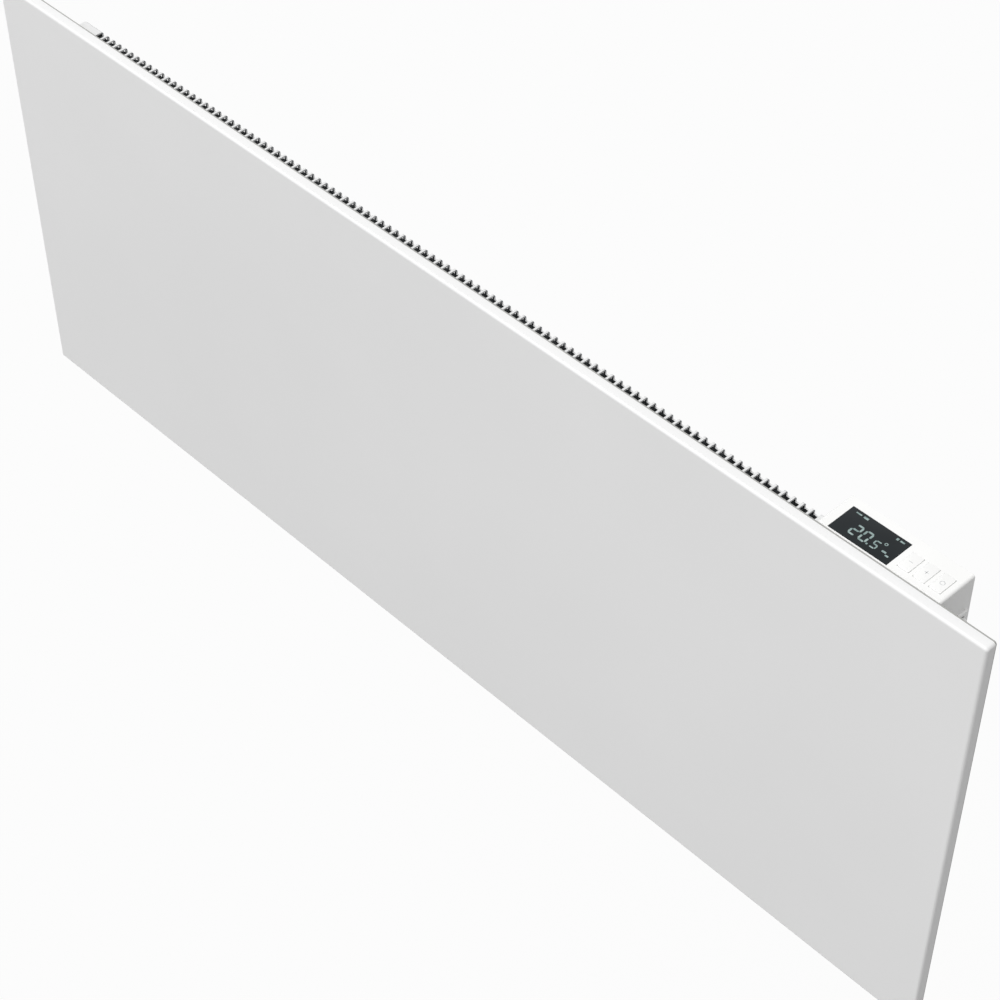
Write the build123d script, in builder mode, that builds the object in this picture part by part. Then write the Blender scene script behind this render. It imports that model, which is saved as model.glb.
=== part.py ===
from build123d import *
import os
from math import cos, radians, sin

# Wall panel convector heater, in millimetres.
# X runs along the panel, Y runs from the room into the wall and Z is up.
# The origin is the middle of the wall bracket, in the plane of the wall.

# ---------------------------------------------------------------------------
# Driving dimensions
# ---------------------------------------------------------------------------

# Front panel: a folded steel tray, open to the rear
panel_length = 929.0
panel_height = 370.0
panel_depth = 10.0
panel_sheet = 1.5
panel_corner_radius = 2.5
panel_bend_radius = 2.0
panel_back_edge = 0.5
panel_rise = 10.0            # middle of the panel above the middle of the bracket

# Where the heater hangs
body_depth = 44.0            # front face of the panel to the rear of the casing
wall_gap = 30.0              # rear of the casing to the wall

# Stiffening rails behind the panel
rail_length = 880.0
rail_depth = 5.2
rail_crown = 24.0
rail_foot = 10.0
rail_sheet = 1.0

# Heat shield between the panel and the casing
shield_sheet = 0.8
shield_bead_width = 12.0
shield_bead_depth = 2.0
shield_bead_taper = 20.0
shield_bead_margin = 96.0    # from the casing's ends
shield_bead_spacing = 90.0

# Convector casing: rear wall and bottom in one sheet, top and rear lip in another
casing_left_inset = 43.5     # left end of the casing inside the panel's left edge
casing_right_inset = 133.5
casing_top_drop = 34.0
casing_bottom_rise = 30.0
casing_sheet = 1.2
casing_bend = 1.6
casing_flange = 12.0
rear_lip_height = 22.0
rear_lip_lap = 8.0

# Air outlet: slots along the top that wrap over the rear bend
outlet_slot_width = 5.7
outlet_slot_pitch = 7.35
outlet_slot_margin = 17.0    # solid strip at each end of the row, at least
outlet_slot_front = 4.0      # slot's front end behind the casing's front flange
outlet_slot_drop = 3.0       # how far the slots run down the rear lip

# Air inlet: rows of slots across the bottom and low in the rear wall
inlet_slot_width = 14.0
inlet_slot_pitch = 25.0
inlet_slot_end_margin = 22.0
inlet_slot_margin = 5.0      # bottom left solid at the front and rear of the slots
intake_slot_length = 90.0
intake_slot_height = 6.0
intake_slot_pitch = 120.0
intake_slot_end_margin = 10.0
intake_slot_rise = 14.0      # above the casing's bottom

# End plates of the casing
end_plate_flange = 12.0
end_plate_corner = 1.2

# Heating element: a rod in a finned aluminium extrusion
element_left_margin = 64.0   # fins from the casing's left end
element_right_margin = 88.0
element_height = 60.0        # across the wings
element_width = 27.0
element_hub_radius = 6.6
element_wing_thickness = 1.6
element_rise = 125.0         # rod axis above the casing's bottom
fin_slit_width = 5.0
fin_slit_pitch = 40.0
fin_slit_depth = 21.0
rod_radius = 4.2
rod_clearance = 0.05
rod_end_length = 30.0        # bare rod beyond the fins, at each end
rod_pin_radius = 1.3
rod_pin_length = 12.0

# Element supports and their ceramic bushes
support_sheet = 1.2
support_height = 44.0
support_foot = 16.0
support_screw_reach = 9.6
support_screw_spacing = 29.0
support_bend = 1.6
support_gap = 12.0           # support plate beyond the fins
support_front_gap = 4.0
bush_hub_width = 13.0
bush_flange_width = 18.0
bush_flange_thickness = 3.0
bush_hub_length = 5.0
bush_clearance = 0.1

# Thermal cut-out on the right end plate
cutout_radius = 7.0
cutout_body = 9.0
cutout_flange_length = 24.0
cutout_flange_width = 14.0
cutout_flange_thickness = 1.0
cutout_tab_length = 15.0
cutout_tab_width = 4.8
cutout_tab_thickness = 0.8
cutout_tab_spacing = 8.0
cutout_rise = 50.0           # above the grommet
cutout_screw_spacing = 19.0

# Control housing at the right end of the casing
housing_length = 92.0
housing_height = 170.0
housing_top_drop = 2.0
housing_front_gap = 0.6      # behind the panel's back edge
housing_rear_inset = 1.8     # in front of the casing's rear
housing_wall = 2.0
housing_corner_radius = 2.0
housing_edge_radius = 1.0
housing_boss_radius = 3.4
housing_boss_inset = 5.5     # boss axis from the inner side walls
housing_upper_boss_drop = 22.0
housing_lower_boss_rise = 8.0
cover_thickness = 2.0
cover_clearance = 0.15
cover_slot_length = 50.0
cover_slot_width = 2.5
cover_slot_pitch = 6.0
cover_slot_count = 6

# Display window in the housing's top
window_length = 44.0
window_width = 23.5
window_thickness = 1.2
window_left_margin = 7.4
window_front_margin = 1.3
window_ledge = 2.0
window_clearance = 0.1

# Display module and control board under the window
display_length = 42.0
display_width = 21.0
display_thickness = 4.5
board_thickness = 1.6
control_board_length = 84.0
control_board_width = 22.0
board_ledge = 3.0
board_ledge_thickness = 2.0
tact_switch_size = 6.0
tact_switch_height = 2.4

# Push keys beside the window
key_width = 8.5
key_length = 15.0
key_pitch = 11.5
key_first_gap = 4.25         # window edge to the first key
key_proud = 0.4
key_corner = 0.8
key_clearance = 0.15
key_flange = 1.0
key_flange_thickness = 1.0
key_seat_clearance = 0.1
key_top_edge = 0.4

# Power switch in the housing's right side
switch_bezel_width = 15.0
switch_bezel_height = 21.0
switch_bezel_thickness = 1.6
switch_body_width = 12.8
switch_body_height = 19.0
switch_body_depth = 14.0
switch_clearance = 0.1
switch_drop = 35.5           # middle of the switch below the housing's top
switch_rear_margin = 11.0    # middle of the switch in front of the housing's rear
rocker_width = 9.0
rocker_side_gap = 0.2
rocker_half_height = 7.0
rocker_end_reach = 4.4       # outer corners beyond the pivot
rocker_middle_reach = 3.0    # hollow of the face beyond the pivot
rocker_inner_reach = 2.5
rocker_inner_half = 3.0
rocker_shoulder = 1.5
rocker_pivot_inset = 3.0     # pivot behind the bezel's outer face
rocker_pin_radius = 1.0
rocker_pin_length = 1.4
rocker_pin_clearance = 0.05
rocker_end_gap = 0.9
rocker_floor_gap = 2.3
rocker_tilt = 9.0            # degrees either side of level

# Power board and what stands on it
power_board_length = 68.0
power_board_height = 118.0
power_board_rise = 18.0      # lower edge above the housing's inner floor
board_rib_depth = 4.0
board_rib_width = 6.0
board_screw_inset = 5.0
relay_size = (12.6, 15.5, 29.0)
relay_place = (14.0, 84.0)   # on the board, from its lower left corner
transformer_size = (26.0, 18.0, 22.0)
transformer_place = (44.0, 88.0)
capacitor_size = (10.0, 17.0, 26.0)
capacitor_place = (58.0, 50.0)
terminal_size = (36.0, 12.0, 12.0)
terminal_place = (26.0, 16.0)
terminal_ways = 3
terminal_screw_size = 3.6
connector_size = (16.0, 6.0, 6.0)
connector_drop = 8.0         # below the board's upper edge
ribbon_width = 13.0
ribbon_thickness = 0.8
ribbon_bend = 6.0
part_edge = 0.6

# Room temperature sensor over the housing's lower vents
sensor_radius = 2.5
sensor_length = 9.0
sensor_base = 7.0
sensor_base_thickness = 1.5
sensor_right_margin = 14.0
vent_slot_length = 18.0
vent_slot_width = 3.0
vent_slot_pitch = 6.0
vent_slot_count = 3

# Cable inlet in the housing's floor
inlet_bore_radius = 4.2
inlet_body_radius = 8.0
inlet_flange_radius = 11.0
inlet_flange_thickness = 2.5
inlet_collar_height = 6.0
inlet_clearance = 0.2
inlet_left_margin = 28.0

# Grommet and leads between the casing and the housing
grommet_bore_radius = 5.6
grommet_body_width = 14.0
grommet_flange_width = 18.0
grommet_flange_thickness = 1.5
grommet_clearance = 0.1
grommet_rise = 17.0          # above the housing's bottom
lead_radius = 1.2
lead_offset = 2.8            # lead axes from the grommet's axis
lead_fan_angle = 30.0        # lower two leads below the level of that axis, in degrees
lead_bend = 7.0
lead_short_bend = 4.0
lead_drop = 8.0              # a lead's first run below a tab of the cut-out
lead_short_turn = 4.8        # earth lead's first run beyond its tag
lead_turn = 9.0              # a lead's first run beyond a rod pin
lead_rise = 9.0              # long lead above the casing's bottom
lead_front_gap = 7.0         # long lead behind the heat shield
lead_clip_length = 8.0
lead_clip_wall = 1.6
lead_clip_first_web = 2      # counted from the left end of the inlet slots
lead_clip_slots = 6          # inlet slots from clip to clip
lead_clip_clearance = 0.1
earth_tag_radius = 4.5
earth_tag_thickness = 0.8
earth_tag_width = 6.0
earth_tag_reach = 6.0
earth_drop = 40.0            # earth tag below the grommet

# Wall bracket
upright_left_inset = 191.0   # middle of the left upright from the casing's left end
upright_right_inset = 101.0
bracket_top_gap = 43.0       # bracket's top below the casing's top
bracket_bottom_gap = 27.0    # bracket's bottom above the casing's bottom
upright_web = 40.0
upright_flange = 22.0
bracket_sheet = 1.5
pad_length = 20.0
pad_width = 14.0
pad_thickness = 2.0
pad_inset = 63.0             # middle of a pad from the upright's end
web_slot_length = 60.0
web_slot_width = 14.0
wall_slot_length = 12.0
wall_slot_width = 6.0
wall_slot_inset = 23.0       # from the upright's ends
hook_width = 24.0
hook_rise = 33.0             # hook arm above the upright's lower end
hook_reach = 8.0             # hook tip inside the casing's rear wall
hook_height = 13.0
hook_bend = 2.5
hook_slot_height = 18.0
hook_side_clearance = 2.0
cross_rail_width = 26.0
cross_rail_leg = 9.0
cross_rail_bend = 2.0
cross_rail_inset = 48.0      # middle of a cross rail from the upright's end
cross_rail_gap = 3.0

# Quarter-turn locks at the top of the bracket
lock_inset = 28.0            # lock axis below the upright's upper end
lock_shaft_radius = 4.0
lock_clearance = 0.05
lock_lever_length = 15.0
lock_lever_width = 9.0
lock_lever_thickness = 4.0
lock_lever_gap = 0.3
lock_bar_length = 26.0
lock_bar_width = 8.4
lock_bar_thickness = 3.0
lock_bar_gap = 0.4
lock_corner = 2.4
lock_slot_width = 9.4
lock_slot_height = 28.6

# Fasteners
screw_head_radius = 3.6
screw_head_height = 1.8
small_screw_radius = 2.2
small_screw_height = 1.4
casing_screw_count = 5
casing_screw_margin = 30.0
lip_screw_rise = 4.0
housing_screw_spacing = 45.0
housing_screw_rise = 62.0

# ---------------------------------------------------------------------------
# Places worked out from the driving dimensions
# ---------------------------------------------------------------------------

casing_length = panel_length - casing_left_inset - casing_right_inset
upright_spacing = casing_length - upright_left_inset - upright_right_inset
casing_left_x = -upright_spacing / 2 - upright_left_inset
panel_front_y = -(wall_gap + body_depth)
panel_inner_y = panel_front_y + panel_sheet
panel_back_y = panel_front_y + panel_depth
panel_top_z = panel_rise + panel_height / 2
panel_bottom_z = panel_rise - panel_height / 2
panel_middle_x = casing_left_x - casing_left_inset + panel_length / 2

rail_rear_y = panel_inner_y + rail_depth
shield_rear_y = rail_rear_y + shield_sheet

casing_right_x = casing_left_x + casing_length
casing_middle_x = casing_left_x + casing_length / 2
casing_top_z = panel_top_z - casing_top_drop
casing_bottom_z = panel_bottom_z + casing_bottom_rise
casing_rear_y = -wall_gap
flange_rear_y = shield_rear_y + casing_sheet
flange_mid_y = shield_rear_y + casing_sheet / 2
lip_mid_y = casing_rear_y - casing_sheet / 2
cover_rear_y = casing_rear_y - casing_sheet
cover_inner_y = cover_rear_y - casing_sheet
cover_mid_y = cover_rear_y - casing_sheet / 2
top_mid_z = casing_top_z - casing_sheet / 2
top_inner_z = casing_top_z - casing_sheet
bottom_mid_z = casing_bottom_z + casing_sheet / 2
bottom_inner_z = casing_bottom_z + casing_sheet
upper_flange_z = casing_top_z + casing_flange
lower_flange_z = casing_bottom_z - casing_flange
lip_bottom_z = casing_top_z - rear_lip_height
cover_top_z = lip_bottom_z + rear_lip_lap
upper_screw_z = casing_top_z + casing_flange / 2
lower_screw_z = casing_bottom_z - casing_flange / 2
lip_screw_z = lip_bottom_z + lip_screw_rise
casing_mid_y = (flange_rear_y + cover_inner_y) / 2

outlet_slot_count = int((casing_length - 2 * outlet_slot_margin) / outlet_slot_pitch)
inlet_slot_count = int((casing_length - 2 * inlet_slot_end_margin) / inlet_slot_pitch)
intake_slot_count = int((casing_length - 2 * intake_slot_end_margin) / intake_slot_pitch)

element_left_x = casing_left_x + element_left_margin
element_right_x = casing_right_x - element_right_margin
element_length = element_right_x - element_left_x
rod_x = (element_left_x + element_right_x) / 2
rod_z = casing_bottom_z + element_rise
rod_left_x = element_left_x - rod_end_length
rod_right_x = element_right_x + rod_end_length
rod_reach = element_length / 2 + rod_end_length
pin_left_x = rod_left_x - rod_pin_length
pin_right_x = rod_right_x + rod_pin_length

housing_left_x = casing_right_x
housing_right_x = housing_left_x + housing_length
housing_middle_x = (housing_left_x + housing_right_x) / 2
housing_top_z = panel_top_z - housing_top_drop
housing_bottom_z = housing_top_z - housing_height
housing_middle_z = (housing_top_z + housing_bottom_z) / 2
housing_front_y = panel_back_y + housing_front_gap
housing_rear_y = casing_rear_y - housing_rear_inset
housing_depth = housing_rear_y - housing_front_y
room_front_y = housing_front_y + housing_wall
room_left_x = housing_left_x + housing_wall
room_right_x = housing_right_x - housing_wall
room_top_z = housing_top_z - housing_wall
room_floor_z = housing_bottom_z + housing_wall
cover_face_y = housing_rear_y - cover_thickness

window_x = housing_left_x + window_left_margin + window_length / 2
window_y = housing_front_y + window_front_margin + window_width / 2
window_right_x = window_x + window_length / 2
display_bottom_z = room_top_z - display_thickness
control_board_z = display_bottom_z - board_thickness
key_places = [window_right_x + key_first_gap + key_width / 2 + key_pitch * n for n in range(3)]
key_top_z = housing_top_z + key_proud
key_flange_top_z = room_top_z - key_seat_clearance

switch_y = housing_rear_y - switch_rear_margin
switch_z = housing_top_z - switch_drop
bezel_face_x = housing_right_x + switch_bezel_thickness
pivot_x = bezel_face_x - rocker_pivot_inset

board_left_x = housing_middle_x - power_board_length / 2
board_bottom_z = room_floor_z + power_board_rise
board_top_z = board_bottom_z + power_board_height
board_front_y = room_front_y + board_rib_depth
board_rear_y = board_front_y + board_thickness
connector_z = board_top_z - connector_drop

inlet_x = housing_left_x + inlet_left_margin
inlet_y = (room_front_y + cover_face_y) / 2
sensor_x = housing_right_x - sensor_right_margin

grommet_z = housing_bottom_z + grommet_rise
grommet_y = casing_mid_y
grommet_hole_width = grommet_body_width + 2 * grommet_clearance
lead_side_y = lead_offset * cos(radians(lead_fan_angle))
lead_side_z = lead_offset * sin(radians(lead_fan_angle))

upright_height = casing_top_z - bracket_top_gap - casing_bottom_z - bracket_bottom_gap
pad_spacing = upright_height - 2 * pad_inset
wall_slot_spacing = upright_height - 2 * wall_slot_inset
cross_rail_spacing = upright_height - 2 * cross_rail_inset
lock_z = upright_height / 2 - lock_inset
hook_z = hook_rise - upright_height / 2
web_front_y = cover_rear_y + pad_thickness
web_rear_y = web_front_y + bracket_sheet
web_mid_y = web_front_y + bracket_sheet / 2
hook_tip_y = cover_inner_y - hook_reach
hook_top_z = hook_z + bracket_sheet / 2
wall_slot_x = upright_spacing / 2 + upright_web / 2 + upright_flange / 2
cross_rail_length = upright_spacing - upright_web - 2 * cross_rail_gap
lock_bar_rear_y = cover_inner_y - lock_bar_gap
lever_front_y = web_rear_y + lock_lever_gap
lever_rear_y = lever_front_y + lock_lever_thickness

rod_axis = Plane(origin=(0, casing_mid_y, rod_z), x_dir=(0, 1, 0), z_dir=(1, 0, 0))
sides = {"left": -1, "right": 1}


def save(part, name):
    """Label one finished sub-part and write it under its own name."""
    part.label = name
    export_step(part, "parts/" + name + ".step")


def face_plane(y):
    """A plane facing the room at depth y: sketches on it use X and Z."""
    return Plane.XZ.offset(-y)


def spread(count, start, end):
    """Evenly spaced places from start to end."""
    return [start + (end - start) * n / (count - 1) for n in range(count)]


os.makedirs("parts", exist_ok=True)

casing_screw_xs = spread(casing_screw_count, casing_left_x + casing_screw_margin,
                         casing_right_x - casing_screw_margin)
flange_screws = [(x, z) for x in casing_screw_xs for z in (upper_screw_z, lower_screw_z)]
lip_screws = [(x, lip_screw_z) for x in casing_screw_xs]

# ---------------------------------------------------------------------------
# Front panel, stiffening rails and heat shield
# ---------------------------------------------------------------------------

with BuildPart() as front_panel:
    with BuildSketch(face_plane(panel_back_y)):
        with Locations((panel_middle_x, panel_rise)):
            RectangleRounded(panel_length, panel_height, panel_corner_radius)
    extrude(amount=panel_depth)
    fillet(front_panel.faces().sort_by(Axis.Y)[0].edges(), radius=panel_bend_radius)
    with BuildSketch(face_plane(panel_back_y)):
        with Locations((panel_middle_x, panel_rise)):
            RectangleRounded(panel_length - 2 * panel_sheet, panel_height - 2 * panel_sheet,
                             panel_corner_radius - panel_sheet)
    extrude(amount=panel_depth - panel_sheet, mode=Mode.SUBTRACT)
    back_rim = front_panel.faces().filter_by(Axis.Y).sort_by(Axis.Y)[-1]
    chamfer(back_rim.outer_wire().edges(), length=panel_back_edge)
save(front_panel.part, "front_panel")

for rail_name, rail_z in (("upper_rail", upper_screw_z), ("lower_rail", lower_screw_z)):
    with BuildPart() as rail:
        with BuildSketch(Plane.YZ.offset(panel_middle_x - rail_length / 2)):
            foot_y = panel_inner_y + rail_sheet / 2
            crown_y = rail_rear_y - rail_sheet / 2
            side_z = rail_crown / 2 - rail_sheet / 2
            with BuildLine():
                Polyline(
                    (foot_y, rail_z - side_z - rail_foot),
                    (foot_y, rail_z - side_z),
                    (crown_y, rail_z - side_z),
                    (crown_y, rail_z + side_z),
                    (foot_y, rail_z + side_z),
                    (foot_y, rail_z + side_z + rail_foot),
                )
            trace(line_width=rail_sheet)
        extrude(amount=rail_length)
    save(rail.part, rail_name)

with BuildPart() as heat_shield:
    shield_height = upper_flange_z - lower_flange_z
    shield_z = (upper_flange_z + lower_flange_z) / 2
    bead_length = casing_length - 2 * shield_bead_margin
    bead_places = [(casing_middle_x, shield_z + shield_bead_spacing * n) for n in (-1, 0, 1)]
    with BuildSketch(face_plane(shield_rear_y)):
        with Locations((casing_middle_x, shield_z)):
            Rectangle(casing_length, shield_height)
    extrude(amount=shield_sheet)
    with BuildSketch(face_plane(rail_rear_y)):
        with Locations(*bead_places):
            Rectangle(bead_length, shield_bead_width)
    extrude(amount=shield_bead_depth, taper=shield_bead_taper)
    with BuildSketch(face_plane(shield_rear_y)):
        with Locations(*bead_places):
            Rectangle(bead_length - 2 * shield_sheet, shield_bead_width - 2 * shield_sheet)
    extrude(amount=shield_bead_depth, taper=shield_bead_taper, mode=Mode.SUBTRACT)
save(heat_shield.part, "heat_shield")

# ---------------------------------------------------------------------------
# Convector casing
# ---------------------------------------------------------------------------

# The outlet grille is one folded strip: front flange, slotted top and rear lip.
with BuildPart() as outlet_grille:
    with BuildSketch(Plane.YZ.offset(casing_left_x)):
        with BuildLine():
            Polyline(
                (flange_mid_y, upper_flange_z),
                (flange_mid_y, top_mid_z),
                (lip_mid_y, top_mid_z),
                (lip_mid_y, lip_bottom_z),
            )
        trace(line_width=casing_sheet)
    extrude(amount=casing_length)
    slot_front_y = flange_rear_y + outlet_slot_front
    slot_bottom_z = casing_top_z - casing_sheet - outlet_slot_drop
    slot_run = casing_rear_y + casing_sheet - slot_front_y
    slot_rise = casing_top_z + casing_sheet - slot_bottom_z
    with Locations((casing_middle_x, slot_front_y, slot_bottom_z)):
        with GridLocations(outlet_slot_pitch, 1, outlet_slot_count, 1):
            Box(outlet_slot_width, slot_run, slot_rise,
                align=(Align.CENTER, Align.MIN, Align.MIN), mode=Mode.SUBTRACT)
save(outlet_grille.part, "outlet_grille")

# The back cover is the rear wall, the slotted bottom and the lower front flange.
with BuildPart() as back_cover:
    with BuildSketch(Plane.YZ.offset(casing_left_x)):
        with BuildLine():
            FilletPolyline(
                (cover_mid_y, cover_top_z),
                (cover_mid_y, bottom_mid_z),
                (flange_mid_y, bottom_mid_z),
                (flange_mid_y, lower_flange_z),
                radius=casing_bend,
            )
        trace(line_width=casing_sheet)
    extrude(amount=casing_length)
    inlet_front_y = flange_rear_y + inlet_slot_margin
    inlet_rear_y = cover_inner_y - inlet_slot_margin
    with BuildSketch(Plane.XY.offset(casing_bottom_z)):
        with Locations((casing_middle_x, (inlet_front_y + inlet_rear_y) / 2)):
            with GridLocations(inlet_slot_pitch, 1, inlet_slot_count, 1):
                Rectangle(inlet_slot_width, inlet_rear_y - inlet_front_y)
    extrude(amount=2 * casing_sheet, mode=Mode.SUBTRACT)
    with BuildSketch(face_plane(cover_rear_y)):
        with Locations((casing_middle_x, casing_bottom_z + intake_slot_rise)):
            with GridLocations(intake_slot_pitch, 1, intake_slot_count, 1):
                Rectangle(intake_slot_length, intake_slot_height)
        for side in sides.values():
            with Locations((side * upright_spacing / 2, hook_top_z - hook_slot_height / 2)):
                Rectangle(hook_width + 2 * hook_side_clearance, hook_slot_height)
            with Locations((side * upright_spacing / 2, lock_z)):
                Rectangle(lock_slot_width, lock_slot_height)
    extrude(amount=2 * casing_sheet, mode=Mode.SUBTRACT)
save(back_cover.part, "back_cover")

# Each end plate is a shallow pan that closes one end of the casing from inside.
pan_width = cover_inner_y - shield_rear_y
pan_height = top_inner_z - bottom_inner_z
pan_y = (cover_inner_y + shield_rear_y) / 2
pan_z = (top_inner_z + bottom_inner_z) / 2
cutout_z = grommet_z + cutout_rise
cutout_screws = [(casing_mid_y + n * cutout_screw_spacing / 2, cutout_z) for n in (-1, 1)]
housing_screws = [(grommet_y, grommet_z + housing_screw_rise + housing_screw_spacing * n)
                  for n in (0, 1)]
earth_z = grommet_z - earth_drop
earth_y = grommet_y + lead_side_y

for side, outer_x in (("left", casing_left_x), ("right", casing_right_x)):
    inward = -sides[side]
    with BuildPart() as end_plate:
        with BuildSketch(Plane.YZ.offset(outer_x)) as pan_outline:
            with Locations((pan_y, pan_z)):
                Rectangle(pan_width, pan_height)
            chamfer(pan_outline.vertices(), length=end_plate_corner)
        extrude(amount=inward * end_plate_flange)
        with BuildSketch(Plane.YZ.offset(outer_x + inward * casing_sheet)):
            with Locations((pan_y, pan_z)):
                Rectangle(pan_width - 2 * casing_sheet, pan_height - 2 * casing_sheet)
        extrude(amount=inward * end_plate_flange, mode=Mode.SUBTRACT)
        if side == "right":
            with BuildSketch(Plane.YZ.offset(outer_x)):
                with Locations((grommet_y, grommet_z)):
                    Rectangle(grommet_hole_width, grommet_hole_width)
            extrude(amount=-2 * casing_sheet, mode=Mode.SUBTRACT)
    save(end_plate.part, side + "_end_plate")

# Hexagon-headed screws: the flanges to the rails, and the rear lip to the back cover.
with BuildPart() as casing_screws:
    with BuildSketch(face_plane(flange_rear_y)):
        with Locations(*flange_screws):
            RegularPolygon(screw_head_radius, 6)
    extrude(amount=-screw_head_height)
    with BuildSketch(face_plane(casing_rear_y)):
        with Locations(*lip_screws):
            RegularPolygon(screw_head_radius, 6)
    extrude(amount=-screw_head_height)
save(casing_screws.part, "casing_screws")

# ---------------------------------------------------------------------------
# Heating element
# ---------------------------------------------------------------------------

# An extrusion with four slanted wings round the rod. Saw cuts part each wing into fins.
with BuildPart() as element_fins:
    wing_tip = (element_width / 2 - element_wing_thickness, element_height / 2)
    with BuildSketch(rod_axis.offset(element_left_x)):
        Circle(element_hub_radius)
        for y_sign in (-1, 1):
            with BuildLine():
                Line((-y_sign * wing_tip[0], -wing_tip[1]), (y_sign * wing_tip[0], wing_tip[1]))
            trace(line_width=element_wing_thickness)
        Circle(rod_radius + rod_clearance, mode=Mode.SUBTRACT)
    extrude(amount=element_length)
    slit_count = int((element_length - fin_slit_pitch) / fin_slit_pitch)
    for z_sign in (-1, 1):
        slit_z = rod_z + z_sign * (element_height / 2 + element_wing_thickness - fin_slit_depth / 2)
        with Locations((rod_x, casing_mid_y, slit_z)):
            with GridLocations(fin_slit_pitch, 1, slit_count, 1):
                Box(fin_slit_width, 2 * element_width, fin_slit_depth, mode=Mode.SUBTRACT)
save(element_fins.part, "element_fins")

# The sheathed rod with a terminal pin at each end.
with BuildPart() as heater_rod:
    with BuildSketch(Plane((rod_x, casing_mid_y, rod_z), x_dir=(1, 0, 0), z_dir=(0, -1, 0))):
        with BuildLine():
            Polyline(
                (-rod_reach - rod_pin_length, 0),
                (-rod_reach - rod_pin_length, rod_pin_radius),
                (-rod_reach, rod_pin_radius),
                (-rod_reach, rod_radius),
                (rod_reach, rod_radius),
                (rod_reach, rod_pin_radius),
                (rod_reach + rod_pin_length, rod_pin_radius),
                (rod_reach + rod_pin_length, 0),
                close=True,
            )
        make_face()
    revolve(axis=Axis((0, casing_mid_y, rod_z), (1, 0, 0)))
save(heater_rod.part, "heater_rod")

# Supports: an angled strip screwed to the rear wall, with a square ceramic bush round the rod.
support_screws = []
for side, sign in sides.items():
    plate_x = rod_x + sign * (element_length / 2 + support_gap)
    foot_x = plate_x + sign * support_foot
    foot_mid_y = cover_inner_y - support_sheet / 2
    screw_x = plate_x + sign * support_screw_reach
    support_screws += [(screw_x, rod_z - support_screw_spacing / 2),
                       (screw_x, rod_z + support_screw_spacing / 2)]
    with BuildPart() as support:
        with BuildSketch(Plane.XY.offset(rod_z - support_height / 2)):
            with BuildLine():
                FilletPolyline(
                    (foot_x, foot_mid_y),
                    (plate_x, foot_mid_y),
                    (plate_x, flange_rear_y + support_front_gap),
                    radius=support_bend,
                )
            trace(line_width=support_sheet)
        extrude(amount=support_height)
        with BuildSketch(rod_axis.offset(plate_x - support_sheet)):
            Rectangle(bush_hub_width + 2 * bush_clearance, bush_hub_width + 2 * bush_clearance)
        extrude(amount=2 * support_sheet, mode=Mode.SUBTRACT)
    save(support.part, "element_support_" + side)

    bush_face_x = plate_x - sign * support_sheet / 2
    with BuildPart() as bush:
        with BuildSketch(rod_axis.offset(bush_face_x)):
            Rectangle(bush_flange_width, bush_flange_width)
        extrude(amount=-sign * bush_flange_thickness)
        with BuildSketch(rod_axis.offset(bush_face_x)):
            Rectangle(bush_hub_width, bush_hub_width)
        extrude(amount=sign * bush_hub_length)
        with BuildSketch(rod_axis.offset(bush_face_x - sign * bush_flange_thickness)):
            Circle(rod_radius + bush_clearance)
        extrude(amount=sign * (bush_flange_thickness + bush_hub_length), mode=Mode.SUBTRACT)
    save(bush.part, "ceramic_bush_" + side)

with BuildPart() as support_screw_set:
    with BuildSketch(face_plane(cover_inner_y - support_sheet)):
        with Locations(*support_screws):
            RegularPolygon(screw_head_radius, 6)
    extrude(amount=screw_head_height)
save(support_screw_set.part, "support_screws")

# ---------------------------------------------------------------------------
# Thermal cut-out, grommet and leads
# ---------------------------------------------------------------------------

plate_face_x = casing_right_x - casing_sheet

with BuildPart() as thermal_cutout:
    with BuildSketch(Plane.YZ.offset(plate_face_x)):
        with Locations((casing_mid_y, cutout_z)):
            Rectangle(cutout_flange_length, cutout_flange_width)
    extrude(amount=-cutout_flange_thickness)
    with BuildSketch(Plane.YZ.offset(plate_face_x - cutout_flange_thickness)):
        with Locations((casing_mid_y, cutout_z)):
            Circle(cutout_radius)
    extrude(amount=-cutout_body)
    with BuildSketch(Plane.YZ.offset(plate_face_x - cutout_flange_thickness - cutout_body)):
        with Locations((casing_mid_y, cutout_z)):
            with GridLocations(cutout_tab_spacing, 1, 2, 1):
                Rectangle(cutout_tab_width, cutout_tab_length, align=(Align.CENTER, Align.MAX))
    extrude(amount=-cutout_tab_thickness)
save(thermal_cutout.part, "thermal_cutout")

# Screws that enter the end plate from inside the casing.
with BuildPart() as end_plate_screws:
    with BuildSketch(Plane.YZ.offset(plate_face_x - cutout_flange_thickness)):
        with Locations(*cutout_screws):
            RegularPolygon(small_screw_radius, 6)
    extrude(amount=-small_screw_height)
    with BuildSketch(Plane.YZ.offset(plate_face_x)):
        with Locations(*housing_screws):
            RegularPolygon(screw_head_radius, 6)
    extrude(amount=-screw_head_height)
    with BuildSketch(Plane.YZ.offset(plate_face_x - earth_tag_thickness)):
        with Locations((earth_y, earth_z)):
            RegularPolygon(screw_head_radius, 6)
    extrude(amount=-screw_head_height)
save(end_plate_screws.part, "end_plate_screws")

with BuildPart() as lead_grommet:
    with BuildSketch(Plane.YZ.offset(plate_face_x)):
        with Locations((grommet_y, grommet_z)):
            Rectangle(grommet_flange_width, grommet_flange_width)
    extrude(amount=-grommet_flange_thickness)
    with BuildSketch(Plane.YZ.offset(plate_face_x)):
        with Locations((grommet_y, grommet_z)):
            Rectangle(grommet_body_width, grommet_body_width)
    extrude(amount=casing_sheet + housing_wall)
    with BuildSketch(Plane.YZ.offset(plate_face_x - grommet_flange_thickness)):
        with Locations((grommet_y, grommet_z)):
            Circle(grommet_bore_radius)
    extrude(amount=grommet_flange_thickness + casing_sheet + housing_wall, mode=Mode.SUBTRACT)
save(lead_grommet.part, "lead_grommet")

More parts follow.
